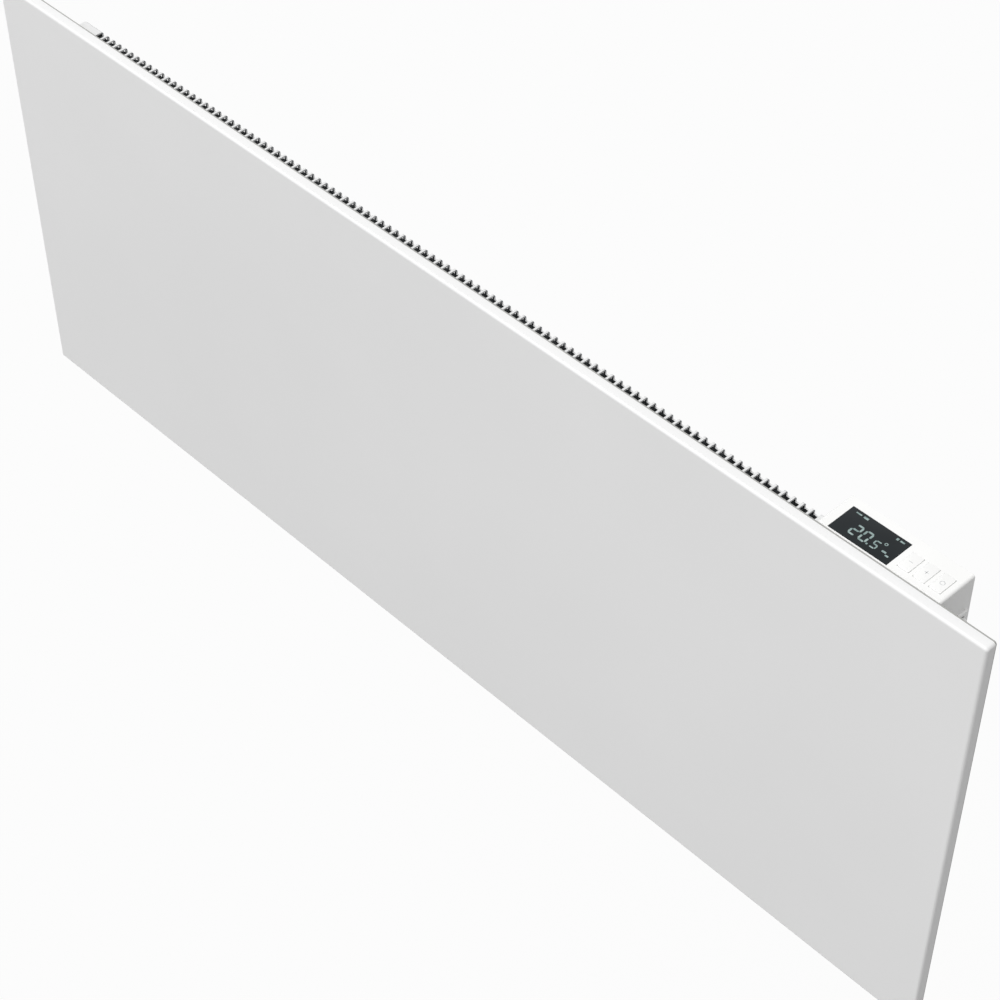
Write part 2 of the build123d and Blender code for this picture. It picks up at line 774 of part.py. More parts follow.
# Terminal block's place on the power board, which the leads run to.
terminal_x = board_left_x + terminal_place[0]
terminal_z = board_bottom_z + terminal_place[1]
terminal_bottom_z = terminal_z - terminal_size[2] / 2
way_pitch = terminal_size[0] / terminal_ways
way_xs = [terminal_x + way_pitch * (n - 1) for n in range(terminal_ways)]


def save_lead(name, points, bend):
    """A thin lead along straight runs joined by equal bends."""
    with BuildPart() as lead:
        with BuildLine():
            FilletPolyline(*points, radius=bend)
        first_run = Vector(*points[1]) - Vector(*points[0])
        with BuildSketch(Plane(origin=points[0], z_dir=first_run)):
            RegularPolygon(lead_radius, 6)
        sweep()
    save(lead.part, name)


# The live lead feeds the cut-out and a second lead goes on from there to the rod's right pin.
tab_x = plate_face_x - cutout_flange_thickness - cutout_body - cutout_tab_thickness / 2
tab_end_z = cutout_z - cutout_tab_length
live_z = grommet_z + lead_offset
save_lead("live_lead", [
    (tab_x, casing_mid_y - cutout_tab_spacing / 2, tab_end_z),
    (tab_x, casing_mid_y - cutout_tab_spacing / 2, tab_end_z - lead_drop),
    (tab_x, grommet_y, live_z + lead_drop),
    (tab_x, grommet_y, live_z),
    (way_xs[0], grommet_y, live_z),
    (way_xs[0], grommet_y, terminal_bottom_z),
], lead_short_bend)

lead_column_x = pin_right_x + lead_turn
save_lead("cutout_lead", [
    (tab_x, casing_mid_y + cutout_tab_spacing / 2, tab_end_z),
    (tab_x, casing_mid_y + cutout_tab_spacing / 2, tab_end_z - lead_drop),
    (lead_column_x, casing_mid_y + cutout_tab_spacing / 2, live_z + lead_bend),
    (lead_column_x, casing_mid_y, rod_z),
    (pin_right_x, casing_mid_y, rod_z),
], lead_bend)

# The neutral lead comes back from the left pin along the casing's bottom.
lead_run_y = shield_rear_y + lead_front_gap
lead_run_z = bottom_inner_z + lead_rise
neutral_y = grommet_y - lead_side_y
neutral_z = grommet_z - lead_side_z
save_lead("neutral_lead", [
    (pin_left_x, casing_mid_y, rod_z),
    (pin_left_x - lead_turn, casing_mid_y, rod_z),
    (pin_left_x - lead_turn, lead_run_y, lead_run_z),
    (pin_right_x + lead_bend, lead_run_y, lead_run_z),
    (pin_right_x + lead_bend, neutral_y, neutral_z),
    (way_xs[1], neutral_y, neutral_z),
    (way_xs[1], neutral_y, terminal_bottom_z),
], lead_bend)

# The earth lead ends in a ring tag folded away from the end plate.
tag_end_x = plate_face_x - earth_tag_reach
tag_top_z = earth_z + earth_tag_radius + earth_tag_thickness
with BuildPart() as earth_tag:
    with BuildSketch(Plane.YZ.offset(plate_face_x)):
        with Locations((earth_y, earth_z)):
            RegularPolygon(earth_tag_radius, 8)
        with Locations((earth_y, earth_z)):
            Rectangle(earth_tag_width, earth_tag_radius + earth_tag_thickness,
                      align=(Align.CENTER, Align.MIN))
    extrude(amount=-earth_tag_thickness)
    with BuildSketch(Plane.XY.offset(tag_top_z)):
        with Locations(((plate_face_x + tag_end_x) / 2, earth_y)):
            Rectangle(earth_tag_reach, earth_tag_width)
    extrude(amount=-earth_tag_thickness)
save(earth_tag.part, "earth_tag")

tag_mid_z = tag_top_z - earth_tag_thickness / 2
earth_column_x = tag_end_x - lead_short_turn
save_lead("earth_lead", [
    (tag_end_x, earth_y, tag_mid_z),
    (earth_column_x, earth_y, tag_mid_z),
    (earth_column_x, earth_y, neutral_z),
    (way_xs[2], earth_y, neutral_z),
    (way_xs[2], earth_y, terminal_bottom_z),
], lead_short_bend)

# Saddles on the webs between the inlet slots hold the long lead.
clip_webs = range(lead_clip_first_web, inlet_slot_count, lead_clip_slots)
clip_xs = [casing_middle_x + (n - inlet_slot_count / 2) * inlet_slot_pitch for n in clip_webs]
with BuildPart() as lead_clips:
    clip_height = lead_rise + lead_radius + lead_clip_wall
    clip_width = 2 * (lead_radius + lead_clip_wall)
    with BuildSketch(Plane.XY.offset(bottom_inner_z)):
        with Locations(*[(x, lead_run_y) for x in clip_xs]):
            Rectangle(lead_clip_length, clip_width)
    extrude(amount=clip_height)
    clip_channel = 2 * (lead_radius + lead_clip_clearance)
    with BuildSketch(Plane.YZ.offset(casing_left_x)):
        with Locations((lead_run_y, lead_run_z)):
            Rectangle(clip_channel, clip_channel)
    extrude(amount=casing_length, mode=Mode.SUBTRACT)
save(lead_clips.part, "lead_clips")

# ---------------------------------------------------------------------------
# Control housing
# ---------------------------------------------------------------------------

upper_boss_z = housing_top_z - housing_upper_boss_drop
lower_boss_z = housing_bottom_z + housing_lower_boss_rise
boss_xs = (room_left_x + housing_boss_inset, room_right_x - housing_boss_inset)
cover_screws = [(x, z) for x in boss_xs for z in (lower_boss_z, upper_boss_z)]
board_middle_z = (board_bottom_z + board_top_z) / 2
board_rib_xs = (board_left_x + board_rib_width / 2,
                board_left_x + power_board_length - board_rib_width / 2)
board_ribs = [(x, board_middle_z) for x in board_rib_xs]
board_screw_places = [(x, z) for x in board_rib_xs
                      for z in (board_bottom_z + board_screw_inset, board_top_z - board_screw_inset)]

with BuildPart() as control_housing:
    with BuildSketch(face_plane(housing_rear_y)):
        with Locations((housing_middle_x, housing_middle_z)):
            RectangleRounded(housing_length, housing_height, housing_corner_radius)
    extrude(amount=housing_depth)
    chamfer(control_housing.faces().sort_by(Axis.Y)[0].edges(), length=housing_edge_radius)
    with BuildSketch(face_plane(housing_rear_y)):
        with Locations((housing_middle_x, housing_middle_z)):
            Rectangle(housing_length - 2 * housing_wall, housing_height - 2 * housing_wall)
    extrude(amount=housing_depth - housing_wall, mode=Mode.SUBTRACT)
    # Bosses that the cover rests on, and ribs that the power board rests on
    with BuildSketch(face_plane(room_front_y)):
        with Locations(*cover_screws):
            RegularPolygon(housing_boss_radius, 8)
    extrude(amount=room_front_y - cover_face_y)
    with BuildSketch(face_plane(room_front_y)):
        with Locations(*board_ribs):
            Rectangle(board_rib_width, power_board_height)
    extrude(amount=-board_rib_depth)
    # Ledges that carry the control board's ends
    with Locations((room_left_x, window_y, control_board_z)):
        Box(board_ledge, control_board_width, board_ledge_thickness,
            align=(Align.MIN, Align.CENTER, Align.MAX))
    with Locations((room_right_x, window_y, control_board_z)):
        Box(board_ledge, control_board_width, board_ledge_thickness,
            align=(Align.MAX, Align.CENTER, Align.MAX))
    # Window recess and the opening inside it
    with BuildSketch(Plane.XY.offset(housing_top_z)):
        with Locations((window_x, window_y)):
            Rectangle(window_length + 2 * window_clearance, window_width + 2 * window_clearance)
    extrude(amount=-window_thickness, mode=Mode.SUBTRACT)
    with BuildSketch(Plane.XY.offset(housing_top_z)):
        with Locations((window_x, window_y)):
            Rectangle(window_length - 2 * window_ledge, window_width - 2 * window_ledge)
        with Locations(*[(x, window_y) for x in key_places]):
            Rectangle(key_width + 2 * key_clearance, key_length + 2 * key_clearance)
    extrude(amount=-housing_wall, mode=Mode.SUBTRACT)
    # Switch opening, lead hole, cable inlet and vents
    with BuildSketch(Plane.YZ.offset(housing_right_x)):
        with Locations((switch_y, switch_z)):
            Rectangle(switch_body_width + 2 * switch_clearance,
                      switch_body_height + 2 * switch_clearance)
    extrude(amount=-housing_wall, mode=Mode.SUBTRACT)
    with BuildSketch(Plane.YZ.offset(housing_left_x)):
        with Locations((grommet_y, grommet_z)):
            Rectangle(grommet_hole_width, grommet_hole_width)
    extrude(amount=housing_wall, mode=Mode.SUBTRACT)
    with BuildSketch(Plane.XY.offset(housing_bottom_z)):
        with Locations((inlet_x, inlet_y)):
            Circle(inlet_body_radius + inlet_clearance)
        with Locations((sensor_x, inlet_y)):
            with GridLocations(vent_slot_pitch, 1, vent_slot_count, 1):
                Rectangle(vent_slot_width, vent_slot_length)
    extrude(amount=housing_wall, mode=Mode.SUBTRACT)
save(control_housing.part, "control_housing")

with BuildPart() as control_cover:
    with BuildSketch(face_plane(housing_rear_y)):
        with Locations((housing_middle_x, housing_middle_z)):
            Rectangle(housing_length - 2 * (housing_wall + cover_clearance),
                      housing_height - 2 * (housing_wall + cover_clearance))
        with Locations((housing_middle_x, upper_boss_z)):
            with GridLocations(1, cover_slot_pitch, 1, cover_slot_count):
                Rectangle(cover_slot_length, cover_slot_width, mode=Mode.SUBTRACT)
    extrude(amount=cover_thickness)
save(control_cover.part, "control_cover")

with BuildPart() as cover_screw_set:
    with BuildSketch(face_plane(housing_rear_y)):
        with Locations(*cover_screws):
            RegularPolygon(screw_head_radius, 6)
    extrude(amount=-screw_head_height)
save(cover_screw_set.part, "cover_screws")

# ---------------------------------------------------------------------------
# Display, control board and push keys
# ---------------------------------------------------------------------------

with BuildPart() as display_window:
    with BuildSketch(Plane.XY.offset(housing_top_z)):
        with Locations((window_x, window_y)):
            Rectangle(window_length, window_width)
    extrude(amount=-window_thickness)
save(display_window.part, "display_window")

with BuildPart() as display_module:
    with BuildSketch(Plane.XY.offset(room_top_z)):
        with Locations((window_x, window_y)):
            Rectangle(display_length, display_width)
    extrude(amount=-display_thickness)
save(display_module.part, "display_module")

with BuildPart() as control_board:
    with BuildSketch(Plane.XY.offset(display_bottom_z)):
        with Locations((housing_middle_x, window_y)):
            Rectangle(control_board_length, control_board_width)
    extrude(amount=-board_thickness)
    with BuildSketch(Plane.XY.offset(display_bottom_z)):
        with Locations(*[(x, window_y) for x in key_places]):
            Rectangle(tact_switch_size, tact_switch_size)
    extrude(amount=tact_switch_height)
save(control_board.part, "control_board")

for key_name, key_x in zip(("minus_key", "plus_key", "mode_key"), key_places):
    with BuildPart() as key:
        with BuildSketch(Plane.XY.offset(key_flange_top_z)) as key_outline:
            with Locations((key_x, window_y)):
                Rectangle(key_width, key_length)
            chamfer(key_outline.vertices(), length=key_corner)
        extrude(amount=key_top_z - key_flange_top_z)
        chamfer(key.faces().sort_by(Axis.Z)[-1].edges(), length=key_top_edge)
        with BuildSketch(Plane.XY.offset(key_flange_top_z)):
            with Locations((key_x, window_y)):
                Rectangle(key_width + 2 * key_flange, key_length + 2 * key_flange)
        extrude(amount=-key_flange_thickness)
    save(key.part, key_name)

# ---------------------------------------------------------------------------
# Power switch
# ---------------------------------------------------------------------------

pocket_width = rocker_width + 2 * rocker_side_gap
pocket_height = 2 * (rocker_half_height + rocker_end_gap)
pocket_floor_x = pivot_x - rocker_inner_reach - rocker_floor_gap
pivot_plane = Plane(origin=(pivot_x, switch_y, switch_z), x_dir=(1, 0, 0), z_dir=(0, -1, 0))

with BuildPart() as switch_body:
    with BuildSketch(Plane.YZ.offset(housing_right_x)):
        with Locations((switch_y, switch_z)):
            Rectangle(switch_bezel_width, switch_bezel_height)
    extrude(amount=switch_bezel_thickness)
    with BuildSketch(Plane.YZ.offset(housing_right_x)):
        with Locations((switch_y, switch_z)):
            Rectangle(switch_body_width, switch_body_height)
    extrude(amount=-switch_body_depth)
    with BuildSketch(Plane.YZ.offset(bezel_face_x)):
        with Locations((switch_y, switch_z)):
            Rectangle(pocket_width, pocket_height)
    extrude(amount=pocket_floor_x - bezel_face_x, mode=Mode.SUBTRACT)
    with BuildSketch(pivot_plane):
        Circle(rocker_pin_radius + rocker_pin_clearance)
    extrude(amount=switch_body_width, both=True, mode=Mode.SUBTRACT)
save(switch_body.part, "switch_body")

# The rocker rests tilted, with its upper end proud, and turns through twice the tilt.
with BuildPart() as rocker:
    tilt = radians(-rocker_tilt)
    with BuildSketch(Plane(origin=(pivot_x, switch_y, switch_z),
                           x_dir=(cos(tilt), 0, sin(tilt)), z_dir=(0, -1, 0))):
        with BuildLine():
            ThreePointArc((rocker_end_reach, -rocker_half_height), (rocker_middle_reach, 0),
                          (rocker_end_reach, rocker_half_height))
            Polyline(
                (rocker_end_reach, rocker_half_height),
                (rocker_shoulder, rocker_half_height),
                (-rocker_inner_reach, rocker_inner_half),
                (-rocker_inner_reach, -rocker_inner_half),
                (rocker_shoulder, -rocker_half_height),
                (rocker_end_reach, -rocker_half_height),
            )
        make_face()
    extrude(amount=rocker_width / 2, both=True)
    with BuildSketch(pivot_plane):
        Circle(rocker_pin_radius)
    extrude(amount=rocker_width / 2 + rocker_pin_length, both=True)
save(rocker.part, "rocker")

# ---------------------------------------------------------------------------
# Power board and its components
# ---------------------------------------------------------------------------

with BuildPart() as power_board:
    with BuildSketch(face_plane(board_rear_y)):
        with Locations((housing_middle_x, board_middle_z)):
            Rectangle(power_board_length, power_board_height)
    extrude(amount=board_thickness)
    with BuildSketch(face_plane(board_rear_y)):
        with Locations((housing_middle_x, connector_z)):
            Rectangle(connector_size[0], connector_size[2])
    extrude(amount=-connector_size[1])
save(power_board.part, "power_board")

with BuildPart() as board_screws:
    with BuildSketch(face_plane(board_rear_y)):
        with Locations(*board_screw_places):
            RegularPolygon(small_screw_radius, 6)
    extrude(amount=-small_screw_height)
save(board_screws.part, "board_screws")

for component, size, place in (("relay", relay_size, relay_place),
                               ("transformer", transformer_size, transformer_place),
                               ("capacitor", capacitor_size, capacitor_place)):
    with BuildPart() as block:
        with BuildSketch(face_plane(board_rear_y)):
            with Locations((board_left_x + place[0], board_bottom_z + place[1])):
                Rectangle(size[0], size[2])
        extrude(amount=-size[1])
        chamfer(block.faces().sort_by(Axis.Y)[-1].edges(), length=part_edge)
    save(block.part, component)

with BuildPart() as terminal_block:
    with BuildSketch(face_plane(board_rear_y)):
        with Locations((terminal_x, terminal_z)):
            Rectangle(terminal_size[0], terminal_size[2])
    extrude(amount=-terminal_size[1])
    with BuildSketch(face_plane(board_rear_y + terminal_size[1])):
        with Locations(*[(x, terminal_z) for x in way_xs]):
            Rectangle(terminal_screw_size, terminal_screw_size)
    extrude(amount=terminal_size[1] / 2, mode=Mode.SUBTRACT)
save(terminal_block.part, "terminal_block")

# A flat cable joins the two boards.
with BuildPart() as ribbon_cable:
    ribbon_end_y = board_rear_y + connector_size[1]
    ribbon_y = ribbon_end_y + ribbon_bend + ribbon_thickness
    with BuildSketch(Plane.YZ.offset(housing_middle_x - ribbon_width / 2)):
        with BuildLine():
            FilletPolyline((ribbon_y, control_board_z), (ribbon_y, connector_z),
                           (ribbon_end_y, connector_z), radius=ribbon_bend)
        trace(line_width=ribbon_thickness)
    extrude(amount=ribbon_width)
save(ribbon_cable.part, "ribbon_cable")

with BuildPart() as room_sensor:
    with BuildSketch(Plane.XY.offset(room_floor_z)):
        with Locations((sensor_x, inlet_y)):
            Rectangle(3 * vent_slot_pitch, sensor_base)
    extrude(amount=sensor_base_thickness)
    with BuildSketch(Plane.XY.offset(room_floor_z + sensor_base_thickness)):
        with Locations((sensor_x, inlet_y)):
            Circle(sensor_radius)
    extrude(amount=sensor_length)
save(room_sensor.part, "room_sensor")

# Bush that the supply cord passes through.
with BuildPart() as cable_inlet:
    with BuildSketch(Plane.XY.offset(housing_bottom_z)):
        with Locations((inlet_x, inlet_y)):
            RegularPolygon(inlet_flange_radius, 6)
    extrude(amount=-inlet_flange_thickness)
    with BuildSketch(Plane.XY.offset(housing_bottom_z)):
        with Locations((inlet_x, inlet_y)):
            Circle(inlet_body_radius)
    extrude(amount=housing_wall + inlet_collar_height)
    with BuildSketch(Plane.XY.offset(housing_bottom_z - inlet_flange_thickness)):
        with Locations((inlet_x, inlet_y)):
            Circle(inlet_bore_radius)
    extrude(amount=inlet_flange_thickness + housing_wall + inlet_collar_height,
            mode=Mode.SUBTRACT)
save(cable_inlet.part, "cable_inlet")

# ---------------------------------------------------------------------------
# Wall bracket and quarter-turn locks
# ---------------------------------------------------------------------------

pad_places = []
for side, sign in sides.items():
    upright_x = sign * upright_spacing / 2
    side_pads = [(upright_x, n * pad_spacing / 2) for n in (-1, 1)]
    pad_places += side_pads
    with BuildPart() as upright:
        with BuildSketch(Plane.XY.offset(-upright_height / 2)):
            web_side = upright_web / 2 - bracket_sheet / 2
            with BuildLine():
                Polyline(
                    (upright_x - web_side - upright_flange, -bracket_sheet / 2),
                    (upright_x - web_side, -bracket_sheet / 2),
                    (upright_x - web_side, web_mid_y),
                    (upright_x + web_side, web_mid_y),
                    (upright_x + web_side, -bracket_sheet / 2),
                    (upright_x + web_side + upright_flange, -bracket_sheet / 2),
                )
            trace(line_width=bracket_sheet)
        extrude(amount=upright_height)
        # Support hook, lanced out of the web and folded up
        hook_arm = web_mid_y - hook_tip_y
        with BuildSketch(face_plane(web_rear_y)):
            with Locations((upright_x, hook_z - bracket_sheet / 2)):
                Rectangle(hook_width, hook_arm + hook_height, align=(Align.CENTER, Align.MAX))
        extrude(amount=bracket_sheet, mode=Mode.SUBTRACT)
        with BuildSketch(Plane.YZ.offset(upright_x - hook_width / 2)):
            with BuildLine():
                FilletPolyline(
                    (web_rear_y, hook_z),
                    (hook_tip_y, hook_z),
                    (hook_tip_y, hook_z + hook_height),
                    radius=hook_bend,
                )
            trace(line_width=bracket_sheet)
        extrude(amount=hook_width)
        # Lock bearing and lightening slot in the web
        with BuildSketch(face_plane(web_rear_y)):
            with Locations((upright_x, lock_z)):
                Circle(lock_shaft_radius + lock_clearance)
            with Locations((upright_x, 0)):
                Rectangle(web_slot_width, web_slot_length)
        extrude(amount=bracket_sheet, mode=Mode.SUBTRACT)
        # Wall slots in the outer flange
        with BuildSketch(face_plane(0)):
            with Locations(*[(sign * wall_slot_x, n * wall_slot_spacing / 2) for n in (-1, 1)]):
                SlotOverall(wall_slot_length, wall_slot_width)
        extrude(amount=bracket_sheet, mode=Mode.SUBTRACT)
    save(upright.part, "bracket_upright_" + side)

    # Lever and shaft in one piece, and the bar fixed to the shaft's front end
    with BuildPart() as lock_lever:
        with BuildSketch(face_plane(lever_rear_y)) as lever_outline:
            with Locations((upright_x, lock_z - lock_lever_width / 2)):
                Rectangle(lock_lever_width, lock_lever_width / 2 + lock_lever_length,
                          align=(Align.CENTER, Align.MIN))
            chamfer(lever_outline.vertices(), length=lock_corner)
        extrude(amount=lock_lever_thickness)
        with BuildSketch(face_plane(lever_front_y)):
            with Locations((upright_x, lock_z)):
                Circle(lock_shaft_radius)
        extrude(amount=lever_front_y - lock_bar_rear_y)
    save(lock_lever.part, "lock_lever_" + side)

    with BuildPart() as lock_bar:
        with BuildSketch(face_plane(lock_bar_rear_y)) as bar_outline:
            with Locations((upright_x, lock_z)):
                Rectangle(lock_bar_length, lock_bar_width)
            chamfer(bar_outline.vertices(), length=lock_corner)
        extrude(amount=lock_bar_thickness)
    save(lock_bar.part, "lock_bar_" + side)

for rail_name, rail_z in (("upper_cross_rail", cross_rail_spacing / 2),
                          ("lower_cross_rail", -cross_rail_spacing / 2)):
    with BuildPart() as cross_rail:
        with BuildSketch(Plane.YZ.offset(-cross_rail_length / 2)):
            rail_mid_y = -bracket_sheet - bracket_sheet / 2
            leg_end_y = rail_mid_y - cross_rail_leg
            leg_z = cross_rail_width / 2 - bracket_sheet / 2
            with BuildLine():
                FilletPolyline(
                    (leg_end_y, rail_z - leg_z),
                    (rail_mid_y, rail_z - leg_z),
                    (rail_mid_y, rail_z + leg_z),
                    (leg_end_y, rail_z + leg_z),
                    radius=cross_rail_bend,
                )
            trace(line_width=bracket_sheet)
        extrude(amount=cross_rail_length)
    save(cross_rail.part, rail_name)

with BuildPart() as bracket_pads:
    with BuildSketch(face_plane(web_front_y)):
        with Locations(*pad_places):
            Rectangle(pad_width, pad_length)
    extrude(amount=pad_thickness)
save(bracket_pads.part, "bracket_pads")
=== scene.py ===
# %% [markdown]
# # A wall panel convector heater
# This lesson dresses the model of a slim electric wall heater. The model comes in as a fixed
# frame: every solid already has its real size and place, in metres, with X along the panel,
# Y from the room into the wall and Z up. The steps below give the sheet metal its rounded
# folds, cut the air slots, light the display and put a real finish on every surface.

from math import pi, radians

import bmesh
import bpy
from mathutils import Matrix, Vector


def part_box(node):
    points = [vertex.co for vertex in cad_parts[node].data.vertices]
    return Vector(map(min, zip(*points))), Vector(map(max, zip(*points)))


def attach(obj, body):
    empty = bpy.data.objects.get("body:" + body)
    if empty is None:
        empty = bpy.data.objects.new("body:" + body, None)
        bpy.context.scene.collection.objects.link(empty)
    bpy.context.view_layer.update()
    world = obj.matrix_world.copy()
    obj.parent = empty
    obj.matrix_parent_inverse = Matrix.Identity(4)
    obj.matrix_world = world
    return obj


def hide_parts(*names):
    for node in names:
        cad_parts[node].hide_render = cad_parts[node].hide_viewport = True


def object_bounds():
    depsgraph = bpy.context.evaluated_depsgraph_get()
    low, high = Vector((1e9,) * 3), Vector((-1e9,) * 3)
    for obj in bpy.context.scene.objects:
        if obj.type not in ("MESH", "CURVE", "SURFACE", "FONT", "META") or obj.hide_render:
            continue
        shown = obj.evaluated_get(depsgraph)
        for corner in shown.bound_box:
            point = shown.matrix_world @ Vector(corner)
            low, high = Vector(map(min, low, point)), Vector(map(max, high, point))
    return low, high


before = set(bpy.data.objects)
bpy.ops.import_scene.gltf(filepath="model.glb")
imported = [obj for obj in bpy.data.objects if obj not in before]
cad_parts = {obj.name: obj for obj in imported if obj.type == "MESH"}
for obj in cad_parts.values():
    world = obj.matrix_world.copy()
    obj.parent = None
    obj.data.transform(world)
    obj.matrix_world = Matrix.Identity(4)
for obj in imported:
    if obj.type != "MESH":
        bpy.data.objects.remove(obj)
solid_low, solid_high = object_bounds()
mm = 0.001
print("solids measure", [round((b - a) / mm, 1) for a, b in zip(solid_low, solid_high)], "mm")

# %% [markdown]
# ## Camera
# The photograph looks down on the heater from in front of its right end. The camera stands at
# the place that was solved from the panel's four corners. A turn about the upright axis, then a
# tilt down, then a very small roll put it in line. A rotation matrix says that in one line.

# %% Place the camera
camera_place = Vector((934.4, -892.1, 1206.2)) * mm
camera_yaw = radians(46.40)
camera_down = radians(44.63)
camera_roll = radians(-0.24)

camera_data = bpy.data.cameras.new("camera")
camera_data.sensor_width = 36.0
camera_data.lens = 88.47
camera_data.clip_start = 0.05
camera_data.clip_end = 60.0
camera = bpy.data.objects.new("camera", camera_data)
bpy.context.scene.collection.objects.link(camera)
bpy.context.scene.camera = camera
camera.matrix_world = (
    Matrix.Translation(camera_place)
    @ Matrix.Rotation(camera_yaw, 4, "Z")
    @ Matrix.Rotation(pi / 2 - camera_down, 4, "X")
    @ Matrix.Rotation(camera_roll, 4, "Z")
)
print("camera is", round((camera_place - (solid_low + solid_high) / 2).length, 3), "m away")

# %% [markdown]
# ## Small helpers
# Every material below is built from nodes. One function adds a node, sets its values and links
# its inputs, so that each material reads as a short recipe. Colours are written as the hex
# values that a paint card gives, and one function turns them into the linear values that
# Blender works with.


# %% Node and colour helpers
def linear(hex_colour):
    """An sRGB hex colour as a linear RGBA tuple."""
    channels = [int(hex_colour[i:i + 2], 16) / 255 for i in (1, 3, 5)]
    lit = [c / 12.92 if c <= 0.04045 else ((c + 0.055) / 1.055) ** 2.4 for c in channels]
    return (*lit, 1.0)


def add_node(material, kind, settings=None, **links):
    """Add a node: settings are its own values, links are values or sockets for its inputs.

    Inputs go by their identifiers, which stay apart where two inputs share a name.
    """
    tree = material.node_tree
    node = tree.nodes.new(kind)
    for key, value in (settings or {}).items():
        setattr(node, key, value)
    sockets = {socket.identifier.replace(" ", "_"): socket for socket in node.inputs}
    for key, value in links.items():
        if isinstance(value, bpy.types.NodeSocket):
            tree.links.new(value, sockets[key])
        else:
            sockets[key].default_value = value
    return node


def new_material(name):
    """An empty node material, its Principled shader and its object coordinates."""
    material = bpy.data.materials.new(name)
    material.use_nodes = True
    shader = material.node_tree.nodes["Principled BSDF"]
    place = add_node(material, "ShaderNodeTexCoord").outputs["Object"]
    return material, shader, place


def join(material, output, socket):
    """Link an output to a shader's socket."""
    material.node_tree.links.new(output, socket)


mixed_colour = 2            # a Mix node's outputs are a number, a vector and then the colour
noise_low = 0.35            # nearly all of a noise lies between these two
noise_high = 0.65
fine_relief = 0.02 * mm     # how far the grain of a coat, a mould or a die stands up


def waves_per_metre(size_mm):
    """The texture scale whose features are about size_mm across."""
    return 1.0 / (size_mm * mm)


print("paint white in linear light:", [round(c, 3) for c in linear("#ECECEC")[:3]])

# %% [markdown]
# ## Finishes: powder coat
# The panel, casing and bracket are steel sheet with a white powder coat. Powder melts in the
# oven into a skin with a very fine orange peel, so light spreads softly and only a broad, weak
# sheen is left. A paint texture from a picture would be too even up close. Here a noise of
# about a millimetre drives a weak bump, and a much larger noise shifts the white by a hair, as
# the thickness of a real coat does.

# %% Coated steel
coat_drift_mm = 180.0
orange_peel_mm = 1.1


def coated_steel(name, low_hex, high_hex, roughness):
    """Powder coat: orange peel about 1 mm across, drawn coarser than the real grain."""
    material, shader, place = new_material(name)
    drift = add_node(material, "ShaderNodeTexNoise", Vector=place,
                     Scale=waves_per_metre(coat_drift_mm), Detail=2.0)
    patches = add_node(material, "ShaderNodeMapRange", Value=drift.outputs["Fac"],
                       From_Min=noise_low, From_Max=noise_high)
    white = add_node(material, "ShaderNodeMix", {"data_type": "RGBA"},
                     Factor_Float=patches.outputs["Result"],
                     A_Color=linear(low_hex), B_Color=linear(high_hex))
    peel = add_node(material, "ShaderNodeTexNoise", Vector=place,
                    Scale=waves_per_metre(orange_peel_mm), Detail=3.0, Roughness=0.55)
    bump = add_node(material, "ShaderNodeBump", Strength=0.06, Distance=fine_relief,
                    Height=peel.outputs["Fac"])
    join(material, white.outputs[mixed_colour], shader.inputs["Base Color"])
    join(material, bump.outputs["Normal"], shader.inputs["Normal"])
    shader.inputs["Roughness"].default_value = roughness
    shader.inputs["IOR"].default_value = 1.5
    return material


# Sprayed and baked polyester powder: an even, neutral white with a soft, wide sheen.
panel_coat = coated_steel("white_powder_coat", "#ECECEC", "#EEEEEE", roughness=0.55)
# A cheaper, thinner coat on the hidden bracket: a little greyer and slightly shinier.
bracket_coat = coated_steel("bracket_powder_coat", "#E6E6E3", "#E9E9E6", roughness=0.5)
# Painted shade: the rear curl is coloured a darker grey than the coat, so a fine grey line ends
# the top fold.
painted_shade_curl_coat = coated_steel("thin_powder_coat_on_edge", "#A6A6A3", "#B1B1AE", roughness=0.5)
print("coats made")

# %% [markdown]
# ## Finishes: moulded plastic
# The housing, the keys and most small parts are injection moulded. The mould is spark eroded,
# so the skin has a grain of a few tenths of a millimetre, and the colour runs a little where
# the melt flowed. A bump from a fine noise breaks up the highlight, and a noise of a few
# centimetres makes the flow marks. One function serves every plastic, with its own grain.

# %% Moulded plastic
flow_mark_mm = 35.0


def moulded_plastic(name, low_hex, high_hex, roughness, grain_mm=0.8):
    """Injection moulded plastic: the mould's spark texture, drawn coarse enough to show."""
    material, shader, place = new_material(name)
    flow = add_node(material, "ShaderNodeTexNoise", Vector=place,
                    Scale=waves_per_metre(flow_mark_mm), Detail=2.0)
    marks = add_node(material, "ShaderNodeMapRange", Value=flow.outputs["Fac"],
                     From_Min=noise_low, From_Max=noise_high)
    tone = add_node(material, "ShaderNodeMix", {"data_type": "RGBA"},
                    Factor_Float=marks.outputs["Result"],
                    A_Color=linear(low_hex), B_Color=linear(high_hex))
    grain = add_node(material, "ShaderNodeTexNoise", Vector=place,
                     Scale=waves_per_metre(grain_mm), Detail=2.0)
    bump = add_node(material, "ShaderNodeBump", Strength=0.08, Distance=fine_relief,
                    Height=grain.outputs["Fac"])
    join(material, tone.outputs[mixed_colour], shader.inputs["Base Color"])
    join(material, bump.outputs["Normal"], shader.inputs["Normal"])
    shader.inputs["Roughness"].default_value = roughness
    shader.inputs["IOR"].default_value = 1.53
    return material


# ABS from a finely eroded mould: whiter and a little glossier than the steel beside it.
housing_abs = moulded_plastic("white_moulded_abs", "#F2F2F1", "#F4F4F3", roughness=0.38)
# Nylon with glass fibres at the skin: a dull, greyish white that looks tough.
lock_nylon = moulded_plastic("glass_filled_nylon", "#CDCDCA", "#D6D6D3", roughness=0.55,
                             grain_mm=0.5)
# Black ABS: the grain turns the highlight into a soft grey film.
black_abs = moulded_plastic("black_moulded_abs", "#1B1C1D", "#222324", roughness=0.45)
